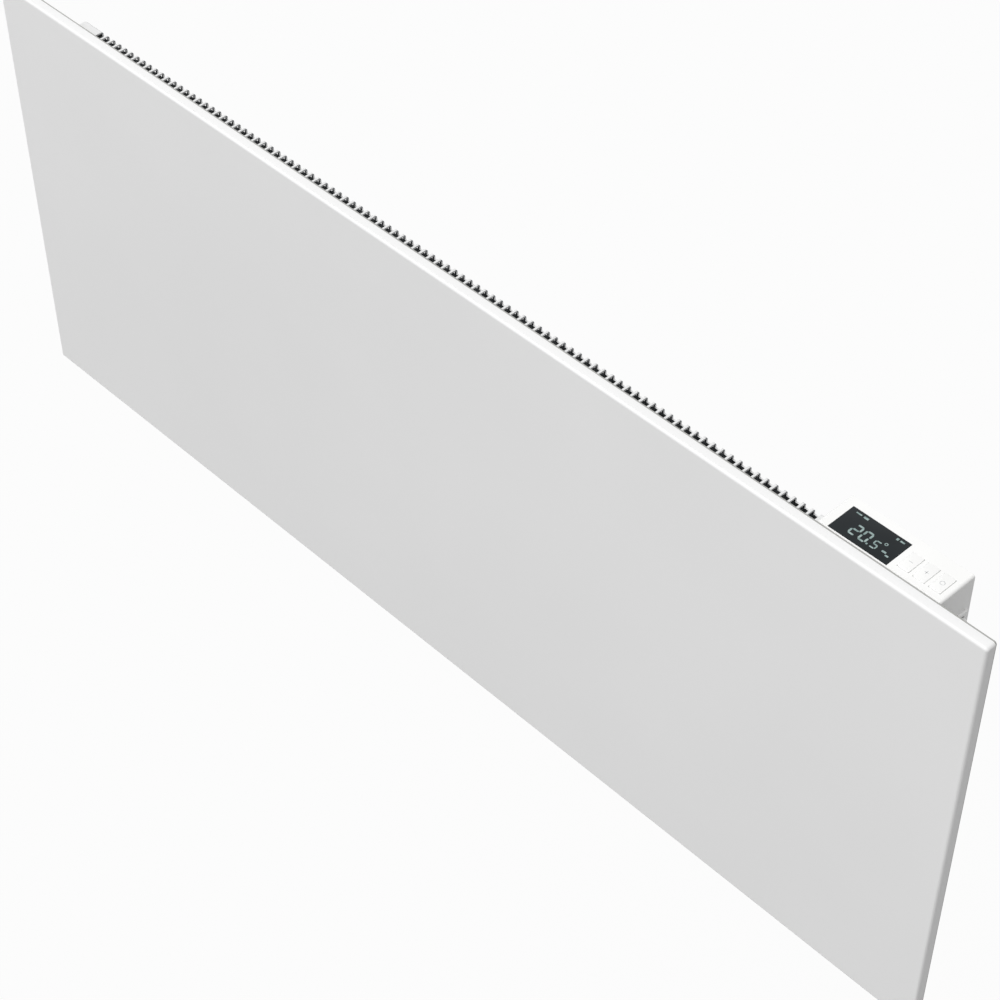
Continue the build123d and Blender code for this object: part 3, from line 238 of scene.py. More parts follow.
# Undyed nylon: waxy and yellowish.
clip_nylon = moulded_plastic("natural_nylon", "#DAD6C8", "#E2DED1", roughness=0.4)
# Dyed polyamide: a flat technical green.
terminal_plastic = moulded_plastic("green_polyamide", "#2C6B4A", "#327452", roughness=0.45)
# Cured ink on a key: a pale grey that barely shows.
symbol_print = moulded_plastic("grey_symbol_print", "#C4C6C7", "#CDCFD0", roughness=0.5)
print("plastics made")

# %% [markdown]
# ## Finishes: bare metals
# The rails, the heat shield and the element's supports are hot-dip galvanised sheet. Zinc
# freezes in flat crystals, the spangle, about a centimetre across, each a slightly different
# grey and gloss. Voronoi cells give exactly that pattern. The element is extruded aluminium,
# drawn through a die, so its grain is a set of long fine lines along X. Stretching the noise
# coordinates does that.

# %% Galvanised sheet, aluminium, oxidised steel, brass
spangle_mm = 9.0


def spangled_zinc(name, low_hex, high_hex):
    """Galvanised sheet: Voronoi crystals in slightly different greys."""
    material, shader, place = new_material(name)
    crystals = add_node(material, "ShaderNodeTexVoronoi", Vector=place,
                        Scale=waves_per_metre(spangle_mm))
    grey = add_node(material, "ShaderNodeMix", {"data_type": "RGBA"},
                    Factor_Float=crystals.outputs["Color"],
                    A_Color=linear(low_hex), B_Color=linear(high_hex))
    sheen = add_node(material, "ShaderNodeMapRange", Value=crystals.outputs["Color"],
                     To_Min=0.36, To_Max=0.52)
    join(material, grey.outputs[mixed_colour], shader.inputs["Base Color"])
    join(material, sheen.outputs["Result"], shader.inputs["Roughness"])
    shader.inputs["Metallic"].default_value = 0.85
    return material


def drawn_metal(name, low_hex, high_hex, roughness, stretch, line_mm):
    """Extruded or drawn metal: lines along one axis, from stretched coordinates."""
    material, shader, place = new_material(name)
    long_way = add_node(material, "ShaderNodeMapping", Vector=place, Scale=stretch)
    lines = add_node(material, "ShaderNodeTexNoise", Vector=long_way.outputs["Vector"],
                     Scale=waves_per_metre(line_mm), Detail=3.0)
    streaks = add_node(material, "ShaderNodeMapRange", Value=lines.outputs["Fac"],
                       From_Min=noise_low, From_Max=noise_high)
    tone = add_node(material, "ShaderNodeMix", {"data_type": "RGBA"},
                    Factor_Float=streaks.outputs["Result"],
                    A_Color=linear(low_hex), B_Color=linear(high_hex))
    bump = add_node(material, "ShaderNodeBump", Strength=0.1, Distance=fine_relief,
                    Height=lines.outputs["Fac"])
    join(material, tone.outputs[mixed_colour], shader.inputs["Base Color"])
    join(material, bump.outputs["Normal"], shader.inputs["Normal"])
    shader.inputs["Metallic"].default_value = 1.0
    shader.inputs["Roughness"].default_value = roughness
    return material


along_x = (0.03, 1.0, 1.0)
every_way = (1.0, 1.0, 1.0)
# Hot-dip zinc: pale crystals, some bright and some dull, as the sheet turns in the light.
zinc_sheet = spangled_zinc("galvanised_sheet", "#A9ADB0", "#C3C6C8")
# The air channel's inside gets no powder: bare zinc, with painted shade that makes it much
# darker than the zinc outside.
shaded_bare_inside = spangled_zinc("heat_darkened_zinc", "#6C6F71", "#7B7E80")
# Zinc plated and clear passivated screws: small bright points.
zinc_screw = drawn_metal("zinc_plated_steel", "#B4B6B7", "#CACBCB", roughness=0.32,
                         stretch=every_way, line_mm=1.5)
# Aluminium from the die: satin, with a highlight that runs along the fins.
aluminium = drawn_metal("extruded_aluminium", "#C6C9CC", "#D6D8DA", roughness=0.38,
                        stretch=along_x, line_mm=0.7)
# Annealed sheath: brown grey oxide, nearly without a highlight.
oxide_steel = drawn_metal("annealed_sheath_steel", "#5D5652", "#77706B", roughness=0.5,
                          stretch=along_x, line_mm=0.9)
# Tinned brass: a yellowish silver.
tinned_brass = drawn_metal("tinned_brass", "#BFB69A", "#D2CBB4", roughness=0.35,
                           stretch=every_way, line_mm=1.0)
print("metals made")

# %% [markdown]
# ## Finishes: window, boards, leads and foam
# The display window is smoked acrylic, nearly black, with a hard coat that takes away most of
# the mirror image. The figures behind it glow a weak grey green. Circuit boards are glass
# fibre under a green solder resist, the leads wear a silicone sleeve, and the pads are
# cellular foam, whose bubbles are a Voronoi bump.

# %% Smoked acrylic, lit figures, foam
wipe_mark_mm = 14.0
glow_patch_mm = 3.0
foam_cell_mm = 1.2


def smoked_acrylic(name):
    """Dark acrylic with a polished face and a faint cloud of dust and wiping marks."""
    material, shader, place = new_material(name)
    wipes = add_node(material, "ShaderNodeTexNoise", Vector=place,
                     Scale=waves_per_metre(wipe_mark_mm), Detail=4.0)
    smoke = add_node(material, "ShaderNodeMix", {"data_type": "RGBA"},
                     Factor_Float=wipes.outputs["Fac"],
                     A_Color=linear("#12181B"), B_Color=linear("#1D2326"))
    sheen = add_node(material, "ShaderNodeMapRange", Value=wipes.outputs["Fac"],
                     To_Min=0.1, To_Max=0.18)
    join(material, smoke.outputs[mixed_colour], shader.inputs["Base Color"])
    join(material, sheen.outputs["Result"], shader.inputs["Roughness"])
    shader.inputs["IOR"].default_value = 1.49
    shader.inputs["Specular IOR Level"].default_value = 0.2
    return material


def lit_figures(name):
    """Backlit figures: a flat pale grey green that gives a little of its own light."""
    material, shader, place = new_material(name)
    glow = add_node(material, "ShaderNodeTexNoise", Vector=place,
                    Scale=waves_per_metre(glow_patch_mm))
    strength = add_node(material, "ShaderNodeMapRange", Value=glow.outputs["Fac"],
                        From_Min=noise_low, From_Max=noise_high)
    tone = add_node(material, "ShaderNodeMix", {"data_type": "RGBA"},
                    Factor_Float=strength.outputs["Result"],
                    A_Color=linear("#6C807E"), B_Color=linear("#98A9A7"))
    join(material, tone.outputs[mixed_colour], shader.inputs["Base Color"])
    join(material, tone.outputs[mixed_colour], shader.inputs["Emission Color"])
    shader.inputs["Emission Strength"].default_value = 0.15
    shader.inputs["Roughness"].default_value = 0.5
    return material


def foam_rubber(name):
    """Closed-cell foam: bubbles of about a millimetre as a Voronoi bump."""
    material, shader, place = new_material(name)
    cells = add_node(material, "ShaderNodeTexVoronoi", Vector=place,
                     Scale=waves_per_metre(foam_cell_mm))
    tone = add_node(material, "ShaderNodeMix", {"data_type": "RGBA"},
                    Factor_Float=cells.outputs["Distance"],
                    A_Color=linear("#1F2021"), B_Color=linear("#303132"))
    bump = add_node(material, "ShaderNodeBump", Strength=0.6, Distance=0.3 * mm,
                    Height=cells.outputs["Distance"])
    join(material, tone.outputs[mixed_colour], shader.inputs["Base Color"])
    join(material, bump.outputs["Normal"], shader.inputs["Normal"])
    shader.inputs["Roughness"].default_value = 0.9
    return material


# Cast and polished, then hard coated: a deep black that mirrors the room only weakly.
window_acrylic = smoked_acrylic("smoked_acrylic")
# Liquid crystal figures lit from behind: uneven, pale, grey green.
figure_light = lit_figures("backlit_figures")
# Cut from a foamed sheet: open bubbles that swallow the light.
pad_foam = foam_rubber("closed_cell_foam")
print("window, figures and foam made")

# %% Boards, windings, ceramic and sleeves
# Solder resist, screen printed and cured: a glassy green over the weave.
solder_resist = moulded_plastic("green_solder_resist", "#1E5A36", "#27683F", roughness=0.35,
                                grain_mm=1.5)
# The module's pressed frame: a cool, even grey.
crystal_module = moulded_plastic("display_module_frame", "#8C9692", "#98A19D", roughness=0.4)
# Polyester tape wound round a coil: yellow and satin.
winding_tape = moulded_plastic("yellow_winding_tape", "#BE9C32", "#C9A83F", roughness=0.5)
# Pressed and fired ceramic: chalky and warm white.
fired_ceramic = moulded_plastic("fired_ceramic", "#DED8C8", "#E9E4D6", roughness=0.6,
                                grain_mm=0.6)
# Extruded silicone sleeves: rubbery and matt, in the colours of the wiring.
brown_sleeve = moulded_plastic("brown_silicone_sleeve", "#4A2A1B", "#55321F", roughness=0.55)
blue_sleeve = moulded_plastic("blue_silicone_sleeve", "#1F3F78", "#264985", roughness=0.55)
earth_sleeve = moulded_plastic("green_yellow_sleeve", "#5F8A23", "#C0B22A", roughness=0.55)
# Laminated flat cable: smooth grey.
flat_cable = moulded_plastic("grey_flat_cable", "#7C7E80", "#8A8C8E", roughness=0.5)
print("boards and sleeves made")

# %% [markdown]
# ## Dress the solids that keep their shape
# Most solids already have the right form, so they only need their finish. The table names each
# finish once and the pieces that wear it.

# %% Give every solid its finish
finishes = [
    (panel_coat, ["front_panel", "outlet_grille", "back_cover", "left_end_plate",
                  "right_end_plate"]),
    (bracket_coat, ["bracket_upright_left", "bracket_upright_right", "upper_cross_rail",
                    "lower_cross_rail"]),
    (housing_abs, ["control_housing", "control_cover", "minus_key", "plus_key", "mode_key",
                   "rocker", "switch_body"]),
    (zinc_sheet, ["upper_rail", "lower_rail", "heat_shield", "element_support_left",
                  "element_support_right"]),
    (zinc_screw, ["casing_screws", "cover_screws", "end_plate_screws", "support_screws",
                  "board_screws"]),
    (aluminium, ["element_fins"]),
    (oxide_steel, ["heater_rod"]),
    (fired_ceramic, ["ceramic_bush_left", "ceramic_bush_right"]),
    (black_abs, ["thermal_cutout", "lead_grommet", "cable_inlet", "relay", "capacitor",
                 "room_sensor"]),
    (winding_tape, ["transformer"]),
    (terminal_plastic, ["terminal_block"]),
    (window_acrylic, ["display_window"]),
    (crystal_module, ["display_module"]),
    (solder_resist, ["control_board", "power_board"]),
    (brown_sleeve, ["live_lead", "cutout_lead"]),
    (blue_sleeve, ["neutral_lead"]),
    (earth_sleeve, ["earth_lead"]),
    (tinned_brass, ["earth_tag"]),
    (clip_nylon, ["lead_clips"]),
    (flat_cable, ["ribbon_cable"]),
    (pad_foam, ["bracket_pads"]),
    (lock_nylon, ["lock_lever_left", "lock_lever_right", "lock_bar_left", "lock_bar_right"]),
]
finish_of = {node: finish for finish, nodes in finishes for node in nodes}
for node, finish in finish_of.items():
    node_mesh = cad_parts[node].data
    node_mesh.materials.clear()
    node_mesh.materials.append(finish)
print(len(finish_of), "solids have a finish of", len(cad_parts))

# %% [markdown]
# ## Helpers for new pieces
# A new piece is shaped in a bmesh and then handed over once: it gets a smooth surface with
# sharp lines only where faces meet at an angle, its finish, the body that it rides on, and the
# solid that it stands for. Keeping that in one function means no piece is left floating.

# %% Piece helpers
crease_angle = radians(35)
same_place = 0.01 * mm      # points nearer than this count as level with each other


def shade(mesh_in_work):
    """Smooth every face and mark the edges that turn by more than the crease angle."""
    for face in mesh_in_work.faces:
        face.smooth = True
    for edge in mesh_in_work.edges:
        turned = len(edge.link_faces) == 2 and edge.calc_face_angle(0) > crease_angle
        edge.smooth = not turned


def finish_piece(name, mesh_in_work, finish, body, stands_for=()):
    """Turn a bmesh into an object that rides on a body and replaces its solids."""
    shade(mesh_in_work)
    mesh = bpy.data.meshes.new(name)
    mesh_in_work.to_mesh(mesh)
    mesh_in_work.free()
    mesh.materials.append(finish)
    piece = bpy.data.objects.new(name, mesh)
    bpy.context.scene.collection.objects.link(piece)
    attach(piece, body)
    if stands_for:
        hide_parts(*stands_for)
    print(name, len(mesh.polygons), "faces")
    return piece


def block(mesh_in_work, low, high):
    """Add a box between two corners and return its vertices."""
    made = bmesh.ops.create_cube(mesh_in_work, size=1.0)
    size = [b - a for a, b in zip(low, high)]
    middle = (Vector(low) + Vector(high)) / 2
    bmesh.ops.scale(mesh_in_work, vec=size, verts=made["verts"])
    bmesh.ops.translate(mesh_in_work, vec=middle, verts=made["verts"])
    return made["verts"]


def round_edges(mesh_in_work, edges, radius, segments):
    """Round edges to a radius in a number of steps."""
    bmesh.ops.bevel(mesh_in_work, geom=list(edges), offset=radius, offset_type="OFFSET",
                    segments=segments, profile=0.5, material=-1, affect="EDGES",
                    clamp_overlap=True)


def runs_along(edge, axis):
    """True for an edge that lies along an axis."""
    way = (edge.verts[1].co - edge.verts[0].co).normalized()
    return abs(way[axis]) > 0.999


def merged_copy(node):
    """A solid's mesh with its loose triangles joined and its flat faces made whole."""
    copy = bmesh.new()
    copy.from_mesh(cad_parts[node].data)
    bmesh.ops.remove_doubles(copy, verts=copy.verts, dist=0.002 * mm)
    bmesh.ops.dissolve_limit(copy, angle_limit=radians(0.5), verts=copy.verts, edges=copy.edges)
    return copy


# %% [markdown]
# ## Front panel
# The real panel is one sheet, folded back by 10 mm on all four sides, with the corners welded
# and ground round. It could be a plane with a Solidify modifier, but the fold would stay sharp.
# Here a box is rounded at its four corners, then along the front rim and the rear one. Its flat
# back is taken off, and the shell gets its 1.5 mm of steel. What is left of the rear rounding
# is the curl that a pressed tray has for safe handling. The curl gets a darker grey of its own,
# painted shade, so that a thin grey line ends the bright top fold.

# %% Fold the front panel
panel_corner_radius = 2.5 * mm
panel_fold_radius = 2.0 * mm
panel_sheet = 1.5 * mm
panel_curl_radius = 2.3 * mm
faces_back = 0.99           # the Y of a normal: the flat back and the curl's last narrow strip
panel_low, panel_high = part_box("front_panel")

panel = bmesh.new()
block(panel, panel_low, panel_high)
round_edges(panel, [e for e in panel.edges if runs_along(e, 1)], panel_corner_radius,
            segments=8)
for rim_y, radius in ((panel_low[1], panel_fold_radius), (panel_high[1], panel_curl_radius)):
    rim = [e for e in panel.edges if all(abs(v.co.y - rim_y) < same_place for v in e.verts)]
    round_edges(panel, rim, radius, segments=8)
back_faces = [f for f in panel.faces if f.normal.y > faces_back]
print(len(back_faces), "faces taken off the back")
bmesh.ops.delete(panel, geom=back_faces, context="FACES_ONLY")
bmesh.ops.recalc_face_normals(panel, faces=panel.faces)
if sum(f.normal.y * f.calc_area() for f in panel.faces) > 0:
    bmesh.ops.reverse_faces(panel, faces=panel.faces)
bmesh.ops.solidify(panel, geom=panel.faces, thickness=panel_sheet)
panel_tray = finish_piece("panel_tray", panel, panel_coat, "heater", ["front_panel"])
# painted shade: the rear curl's faces take a darker grey than the rest of the tray
panel_tray.data.materials.append(painted_shade_curl_coat)
for face in panel_tray.data.polygons:
    if face.center.y > panel_high[1] - panel_curl_radius:
        face.material_index = 1

# %% [markdown]
# ## Outlet grille
# Warm air leaves through a row of slots on top of the casing. They are punched in the flat
# sheet before it is folded, so each one runs across the top and a few millimetres down the
# rear bend. That is why the folded edge looks toothed from behind. The piece is drawn as its
# fold line, pulled out along X one slot at a time, and the faces inside a slot are left out.
# Then the folds between the slots are rounded and the sheet is given its thickness.

# %% Place the slots
casing_sheet = 1.2 * mm
front_flange_height = 12.0 * mm
slot_width = 5.7 * mm
slot_pitch = 7.35 * mm
slot_front_gap = 4.0 * mm
slot_drop = 3.0 * mm
solid_ends = 34.0 * mm      # length left without slots, both ends together
grille_low, grille_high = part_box("outlet_grille")
casing_top = grille_high[2] - front_flange_height
flange_back = grille_low[1] + casing_sheet
slot_front = flange_back + slot_front_gap
slot_bottom = casing_top - casing_sheet - slot_drop

casing_middle = (grille_low[0] + grille_high[0]) / 2
slot_count = int((grille_high[0] - grille_low[0] - solid_ends) / slot_pitch)
slot_middles = [casing_middle + (n - (slot_count - 1) / 2) * slot_pitch
                for n in range(slot_count)]
columns = [grille_low[0]]
for middle in slot_middles:
    columns += [middle - slot_width / 2, middle + slot_width / 2]
columns.append(grille_high[0])
print(slot_count, "slots,", len(columns), "columns")

# %% Pull out the sheet and open the slots
fold_line = [
    (flange_back, grille_high[2]),
    (flange_back, casing_top),
    (slot_front, casing_top),
    (grille_high[1], casing_top),
    (grille_high[1], slot_bottom),
    (grille_high[1], grille_low[2]),
]
grille = bmesh.new()
line_points = [grille.verts.new((columns[0], y, z)) for y, z in fold_line]
front_edges = [grille.edges.new(pair) for pair in zip(line_points, line_points[1:])]
for here, there in zip(columns, columns[1:]):
    pulled = bmesh.ops.extrude_edge_only(grille, edges=front_edges)
    new_points = [g for g in pulled["geom"] if isinstance(g, bmesh.types.BMVert)]
    front_edges = [g for g in pulled["geom"]
                   if isinstance(g, bmesh.types.BMEdge) and not runs_along(g, 0)]
    bmesh.ops.translate(grille, vec=(there - here, 0, 0), verts=new_points)


def in_a_slot(face):
    """True for a grid face that a slot takes away."""
    middle = face.calc_center_median()
    beside = min(abs(middle.x - x) for x in slot_middles) < 0.1 * slot_width
    return beside and middle.y > slot_front and middle.z > slot_bottom


slot_faces = [f for f in grille.faces if in_a_slot(f)]
print(len(slot_faces), "faces taken out of", len(grille.faces))
bmesh.ops.delete(grille, geom=slot_faces, context="FACES")

# %% [markdown]
# The sheet is still a surface without thickness. The bend is rounded first, one short fold
# between every two slots, because a bevel on a thick sheet would round its two skins apart.
# Then the solidify operator gives the surface its real thickness.

# %% Round the rear bend and thicken the sheet
rear_fold_radius = 2.4 * mm


def on_rear_bend(vert):
    """True for a point on the line where the top turns down into the rear lip."""
    return (abs(vert.co.y - grille_high[1]) < same_place
            and abs(vert.co.z - casing_top) < same_place)


rear_fold = [e for e in grille.edges if runs_along(e, 0) and len(e.link_faces) == 2
             and all(on_rear_bend(v) for v in e.verts)]
print(len(rear_fold), "folds between the slots")
round_edges(grille, rear_fold, rear_fold_radius, segments=5)
bmesh.ops.recalc_face_normals(grille, faces=grille.faces)
upward = sum(f.normal.z * f.calc_area() for f in grille.faces)
if upward < 0:
    bmesh.ops.reverse_faces(grille, faces=grille.faces)
bmesh.ops.solidify(grille, geom=grille.faces, thickness=casing_sheet)
slotted_top = finish_piece("slotted_top", grille, panel_coat, "heater", ["outlet_grille"])

# %% [markdown]
# Powder is sprayed from outside, so hardly any reaches the inside of the casing. A second
# material goes on the faces that look inwards: bare zinc, darkened by painted shade. They are
# found by where they lie: behind the flange, under the top and in front of the lip. This
# painted shade is the dark that fills the slots.

# %% Leave the grille's inside bare, with painted shade
past_middle = 0.6 * casing_sheet    # deeper than this, a face belongs to the inner skin
# painted shade: the inward faces take a darkened zinc, so the slots look deep and dark
slotted_top.data.materials.append(shaded_bare_inside)
under_top = casing_top - past_middle
before_lip = grille_high[1] - past_middle
shaded_inside_faces = 0
for face in slotted_top.data.polygons:
    behind_flange = face.center.y > grille_low[1] + past_middle
    if behind_flange and face.center.z < under_top and face.center.y < before_lip:
        face.material_index = 1
        shaded_inside_faces += 1
print(shaded_inside_faces, "faces without powder")

# %% [markdown]
# ## Sheet metal with eased edges
# Sheared and folded sheet is never knife sharp: the powder rounds every edge by a few tenths of
# a millimetre. Copies of the solids, with their triangles joined, take a thin bevel along
# every sharp edge. It is small, but it draws a fine light line that tells the eye "metal". The
# moulded pieces get the same treatment, because a mould's edges are never quite sharp either.


# %% Ease the edges of folded and moulded pieces
def eased_copy(node, new_name, body, ease_mm):
    """A merged copy of a solid whose sharp edges have a fine bevel."""
    piece = finish_piece(new_name, merged_copy(node), finish_of[node], body, [node])
    bevel = piece.modifiers.new("eased_edges", "BEVEL")
    bevel.width = ease_mm * mm
    bevel.segments = 2
    bevel.limit_method = "ANGLE"
    bevel.angle_limit = radians(40)
    bevel.use_clamp_overlap = False
    bevel.loop_slide = False
    bevel.harden_normals = True


for node, new_name, ease_mm in [
    ("back_cover", "rear_wall_sheet", 0.25),
    ("left_end_plate", "left_end_pan", 0.25),
    ("right_end_plate", "right_end_pan", 0.25),
    ("upper_rail", "upper_hat_rail", 0.3),
    ("lower_rail", "lower_hat_rail", 0.3),
    ("heat_shield", "beaded_shield", 0.2),
    ("bracket_upright_left", "left_wall_channel", 0.4),
    ("bracket_upright_right", "right_wall_channel", 0.4),
    ("upper_cross_rail", "upper_cross_channel", 0.3),
    ("lower_cross_rail", "lower_cross_channel", 0.3),
    ("control_housing", "moulded_housing", 0.08),
    ("control_cover", "louvred_cover", 0.3),
    ("switch_body", "switch_frame", 0.3),
    ("cable_inlet", "inlet_bush", 0.3),
    ("bracket_pads", "foam_pads", 0.4),
]:
    eased_copy(node, new_name, "heater", ease_mm)

eased_copy("rocker", "rocker_cap", "rocker", 0.25)
for side in ("left", "right"):
    eased_copy("lock_lever_" + side, "quarter_turn_lever_" + side, "lock_" + side, 0.4)
    eased_copy("lock_bar_" + side, "quarter_turn_bar_" + side, "lock_" + side, 0.3)

# %% [markdown]
# ## Push keys
# Three small keys sit beside the window. Each is a moulded cap with a shallow printed symbol:
# minus, plus and a ring for the mode. A box with rounded edges is enough for the cap, and the
# symbols are thin plates that rest on its top and move with it.

# %% Mould the keys and print their symbols
key_flange = 1.0 * mm       # the flange is as wide as it is thick
key_side_radius = 0.9 * mm
key_rim_radius = 0.25 * mm
print_thickness = 0.04 * mm
symbol_reach = 1.5 * mm
symbol_stroke = 0.45 * mm


def add_bar(mesh_in_work, middle, length, width, height, turn=0.0):
    """A thin flat bar, turned about the upright axis."""
    half = Vector((length, width, height)) / 2
    verts = block(mesh_in_work, -half, half)
    bmesh.ops.rotate(mesh_in_work, verts=verts, matrix=Matrix.Rotation(turn, 3, "Z"))
    bmesh.ops.translate(mesh_in_work, verts=verts, vec=middle)
    return verts


def add_ring(mesh_in_work, middle, radius, stroke, height):
    """A thin flat ring, spun from a small rectangle."""
    points = [(radius - stroke / 2, 0), (radius + stroke / 2, 0),
              (radius + stroke / 2, height), (radius - stroke / 2, height)]
    verts = [mesh_in_work.verts.new(Vector(middle) + Vector((x, 0, z))) for x, z in points]
    edges = [mesh_in_work.edges.new(pair) for pair in zip(verts, verts[1:] + verts[:1])]
    bmesh.ops.spin(mesh_in_work, geom=verts + edges, cent=middle, axis=(0, 0, 1),
                   angle=2 * pi, steps=32, use_merge=True)


for node in ("minus_key", "plus_key", "mode_key"):
    low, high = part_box(node)
    cap_low = (low[0] + key_flange, low[1] + key_flange, low[2] + key_flange)
    cap = bmesh.new()
    block(cap, low, (high[0], high[1], cap_low[2]))
    stem = block(cap, cap_low, (high[0] - key_flange, high[1] - key_flange, high[2]))
    stem_edges = {e for v in stem for e in v.link_edges}
    round_edges(cap, [e for e in stem_edges if runs_along(e, 2)], key_side_radius, segments=5)
    top_rim = [e for e in cap.edges if all(v.co.z > high[2] - same_place for v in e.verts)]
    round_edges(cap, top_rim, key_rim_radius, segments=4)
    finish_piece(node + "_cap", cap, housing_abs, node, [node])

    middle = Vector(((low[0] + high[0]) / 2, (low[1] + high[1]) / 2, high[2]))
    symbol = bmesh.new()
    if node == "mode_key":
        add_ring(symbol, middle, symbol_reach, symbol_stroke, print_thickness)
    else:
        add_bar(symbol, middle, 2 * symbol_reach, symbol_stroke, 2 * print_thickness)
    if node == "plus_key":
        add_bar(symbol, middle, symbol_stroke, 2 * symbol_reach, 2 * print_thickness)
    bmesh.ops.recalc_face_normals(symbol, faces=symbol.faces)
    mark = finish_piece(node + "_symbol", symbol, symbol_print, node)

# %% [markdown]
# ## Display window and its figures
# The window is a small pane let into the housing's top, with rounded corners and a polished rim.
# The figures are a plain seven-segment temperature with a few small marks round it. Each
# segment is a thin bar with pointed ends: a box whose four upright edges are cut back. They
# lie on the pane, a few hundredths of a millimetre thick, so that they stay crisp from any side.

# %% Window pane
pane_corner_radius = 0.8 * mm
pane_rim_radius = 0.25 * mm
pane_low, pane_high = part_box("display_window")
pane = bmesh.new()
block(pane, pane_low, pane_high)
round_edges(pane, [e for e in pane.edges if runs_along(e, 2)], pane_corner_radius, segments=4)
pane_rim = [e for e in pane.edges if all(v.co.z > pane_high[2] - same_place for v in e.verts)]
round_edges(pane, pane_rim, pane_rim_radius, segments=3)
finish_piece("window_pane", pane, window_acrylic, "heater", ["display_window"])

# %% Seven-segment figures
figure_thickness = 0.05 * mm
stroke_share = 0.15         # a segment's width, by the figure's height
level_share = 0.92          # a level segment's length, by the figure's width
upright_share = 0.46        # an upright segment's length, by the figure's height
point_share = 0.45          # how far a segment's corners are cut back, by its width
figure_lean = 0.12          # how far a figure leans over, by its height
segments_of = {"0": "abcdef", "2": "abged", "5": "afgcd"}


def add_segment(mesh_in_work, middle, length, width, turn):
    """One bar of a figure, with pointed ends."""
    verts = add_bar(mesh_in_work, middle, length, width, 2 * figure_thickness, turn)
    upright = {e for v in verts for e in v.link_edges if runs_along(e, 2)}
    round_edges(mesh_in_work, upright, width * point_share, segments=1)


def add_figure(mesh_in_work, sign, middle, width, height):
    """A seven-segment figure, leaning a little as display figures do."""
    stroke = stroke_share * height
    places = {
        "a": (0, height / 2, 0), "g": (0, 0, 0), "d": (0, -height / 2, 0),
        "f": (-width / 2, height / 4, pi / 2), "b": (width / 2, height / 4, pi / 2),
        "e": (-width / 2, -height / 4, pi / 2), "c": (width / 2, -height / 4, pi / 2),
    }
    for letter in segments_of[sign]:
        x, y, turn = places[letter]
        length = width * level_share if turn == 0 else height * upright_share
        place = Vector(middle) + Vector((x + figure_lean * y, y, 0))
        add_segment(mesh_in_work, place, length, stroke, turn)


pane_middle = Vector(((pane_low[0] + pane_high[0]) / 2, (pane_low[1] + pane_high[1]) / 2,
                      pane_high[2]))


def on_pane(x_mm, y_mm):
    """A point on the pane, from its middle, in millimetres."""
    return pane_middle + Vector((x_mm, y_mm, 0)) * mm


print("figures can show", ", ".join(segments_of))

# %% [markdown]
# The figures of a real display are lit from behind, under the pane. Laid on the pane, they
# need no see-through material. Their places are in millimetres from the pane's middle.

# %% Lay the temperature and the small marks on the pane
large_figure = (4.6 * mm, 8.6 * mm)     # width and height
small_figure = (3.6 * mm, 6.4 * mm)
point_size = 1.2 * mm
degree_radius = 0.9 * mm
degree_stroke = 0.5 * mm
figures = bmesh.new()
add_figure(figures, "2", on_pane(-8.2, -2.6), *large_figure)
add_figure(figures, "0", on_pane(-0.8, -2.6), *large_figure)
add_bar(figures, on_pane(3.0, -6.6), point_size, point_size, 2 * figure_thickness)
add_figure(figures, "5", on_pane(7.2, -3.6), *small_figure)
add_ring(figures, on_pane(11.6, 1.0), degree_radius, degree_stroke, figure_thickness)
for x_mm, y_mm, length_mm, width_mm in [
    (-15.5, 9.0, 4.0, 1.0),
    (-10.2, 9.0, 3.4, 1.6),
    (13.4, 9.0, 1.6, 1.8),
    (17.0, 9.0, 3.2, 1.2),
    (14.4, -4.6, 3.0, 1.4),
    (17.6, -6.2, 2.4, 1.2),
]:
    add_bar(figures, on_pane(x_mm, y_mm), length_mm * mm, width_mm * mm, 2 * figure_thickness)
bmesh.ops.recalc_face_normals(figures, faces=figures.faces)
shown_figures = finish_piece("display_figures", figures, figure_light, "heater")

# %% [markdown]
# ## Screws
# The casing is held by hexagon-headed sheet screws with a pressed washer face. A six-sided
# cone gives the hexagon, a round one the washer. The rim of the top is rounded a little, because
# pressing leaves no sharp edge. Every head of one kind goes into one piece.

# %% Make the screw heads
washer_height_share = 0.3   # by the head's height
washer_foot_share = 1.12    # by the head's radius, as the next two are
hexagon_share = 0.9
rounding_share = 0.18
towards_wall = Vector((0, 1, 0))


def add_hex_head(mesh_in_work, place, outward, radius, height):
    """A hexagon head on a washer face, standing along outward."""
    turn = Vector((0, 0, 1)).rotation_difference(outward).to_matrix().to_4x4()
    stand = Matrix.Translation(place) @ turn
    washer_height = washer_height_share * height
    bmesh.ops.create_cone(
        mesh_in_work, cap_ends=True, segments=28, radius1=radius * washer_foot_share,
        radius2=radius, depth=washer_height,
        matrix=stand @ Matrix.Translation((0, 0, washer_height / 2)))
    head = bmesh.ops.create_cone(
        mesh_in_work, cap_ends=True, segments=6, radius1=radius * hexagon_share,
        radius2=radius * hexagon_share, depth=height,
        matrix=stand @ Matrix.Translation((0, 0, height / 2)))
    top = [v for v in head["verts"] if (v.co - place).dot(outward) > height / 2]
    rim = {e for v in top for e in v.link_edges if all(w in top for w in e.verts)}
    round_edges(mesh_in_work, rim, rounding_share * radius, segments=2)


def islands(node):
    """The separate solids of a node, each as (lowest corner, highest corner)."""
    copy = merged_copy(node)
    left = set(copy.verts)
    found = []
    for start in copy.verts:
        if start not in left:
            continue
        left.discard(start)
        reach = [start]
        group = [start]
        while reach:
            for edge in reach.pop().link_edges:
                for vert in edge.verts:
                    if vert in left:
                        left.discard(vert)
                        reach.append(vert)
                        group.append(vert)
        low = Vector([min(v.co[i] for v in group) for i in range(3)])
        high = Vector([max(v.co[i] for v in group) for i in range(3)])
        found.append((low, high))
    copy.free()
    return found


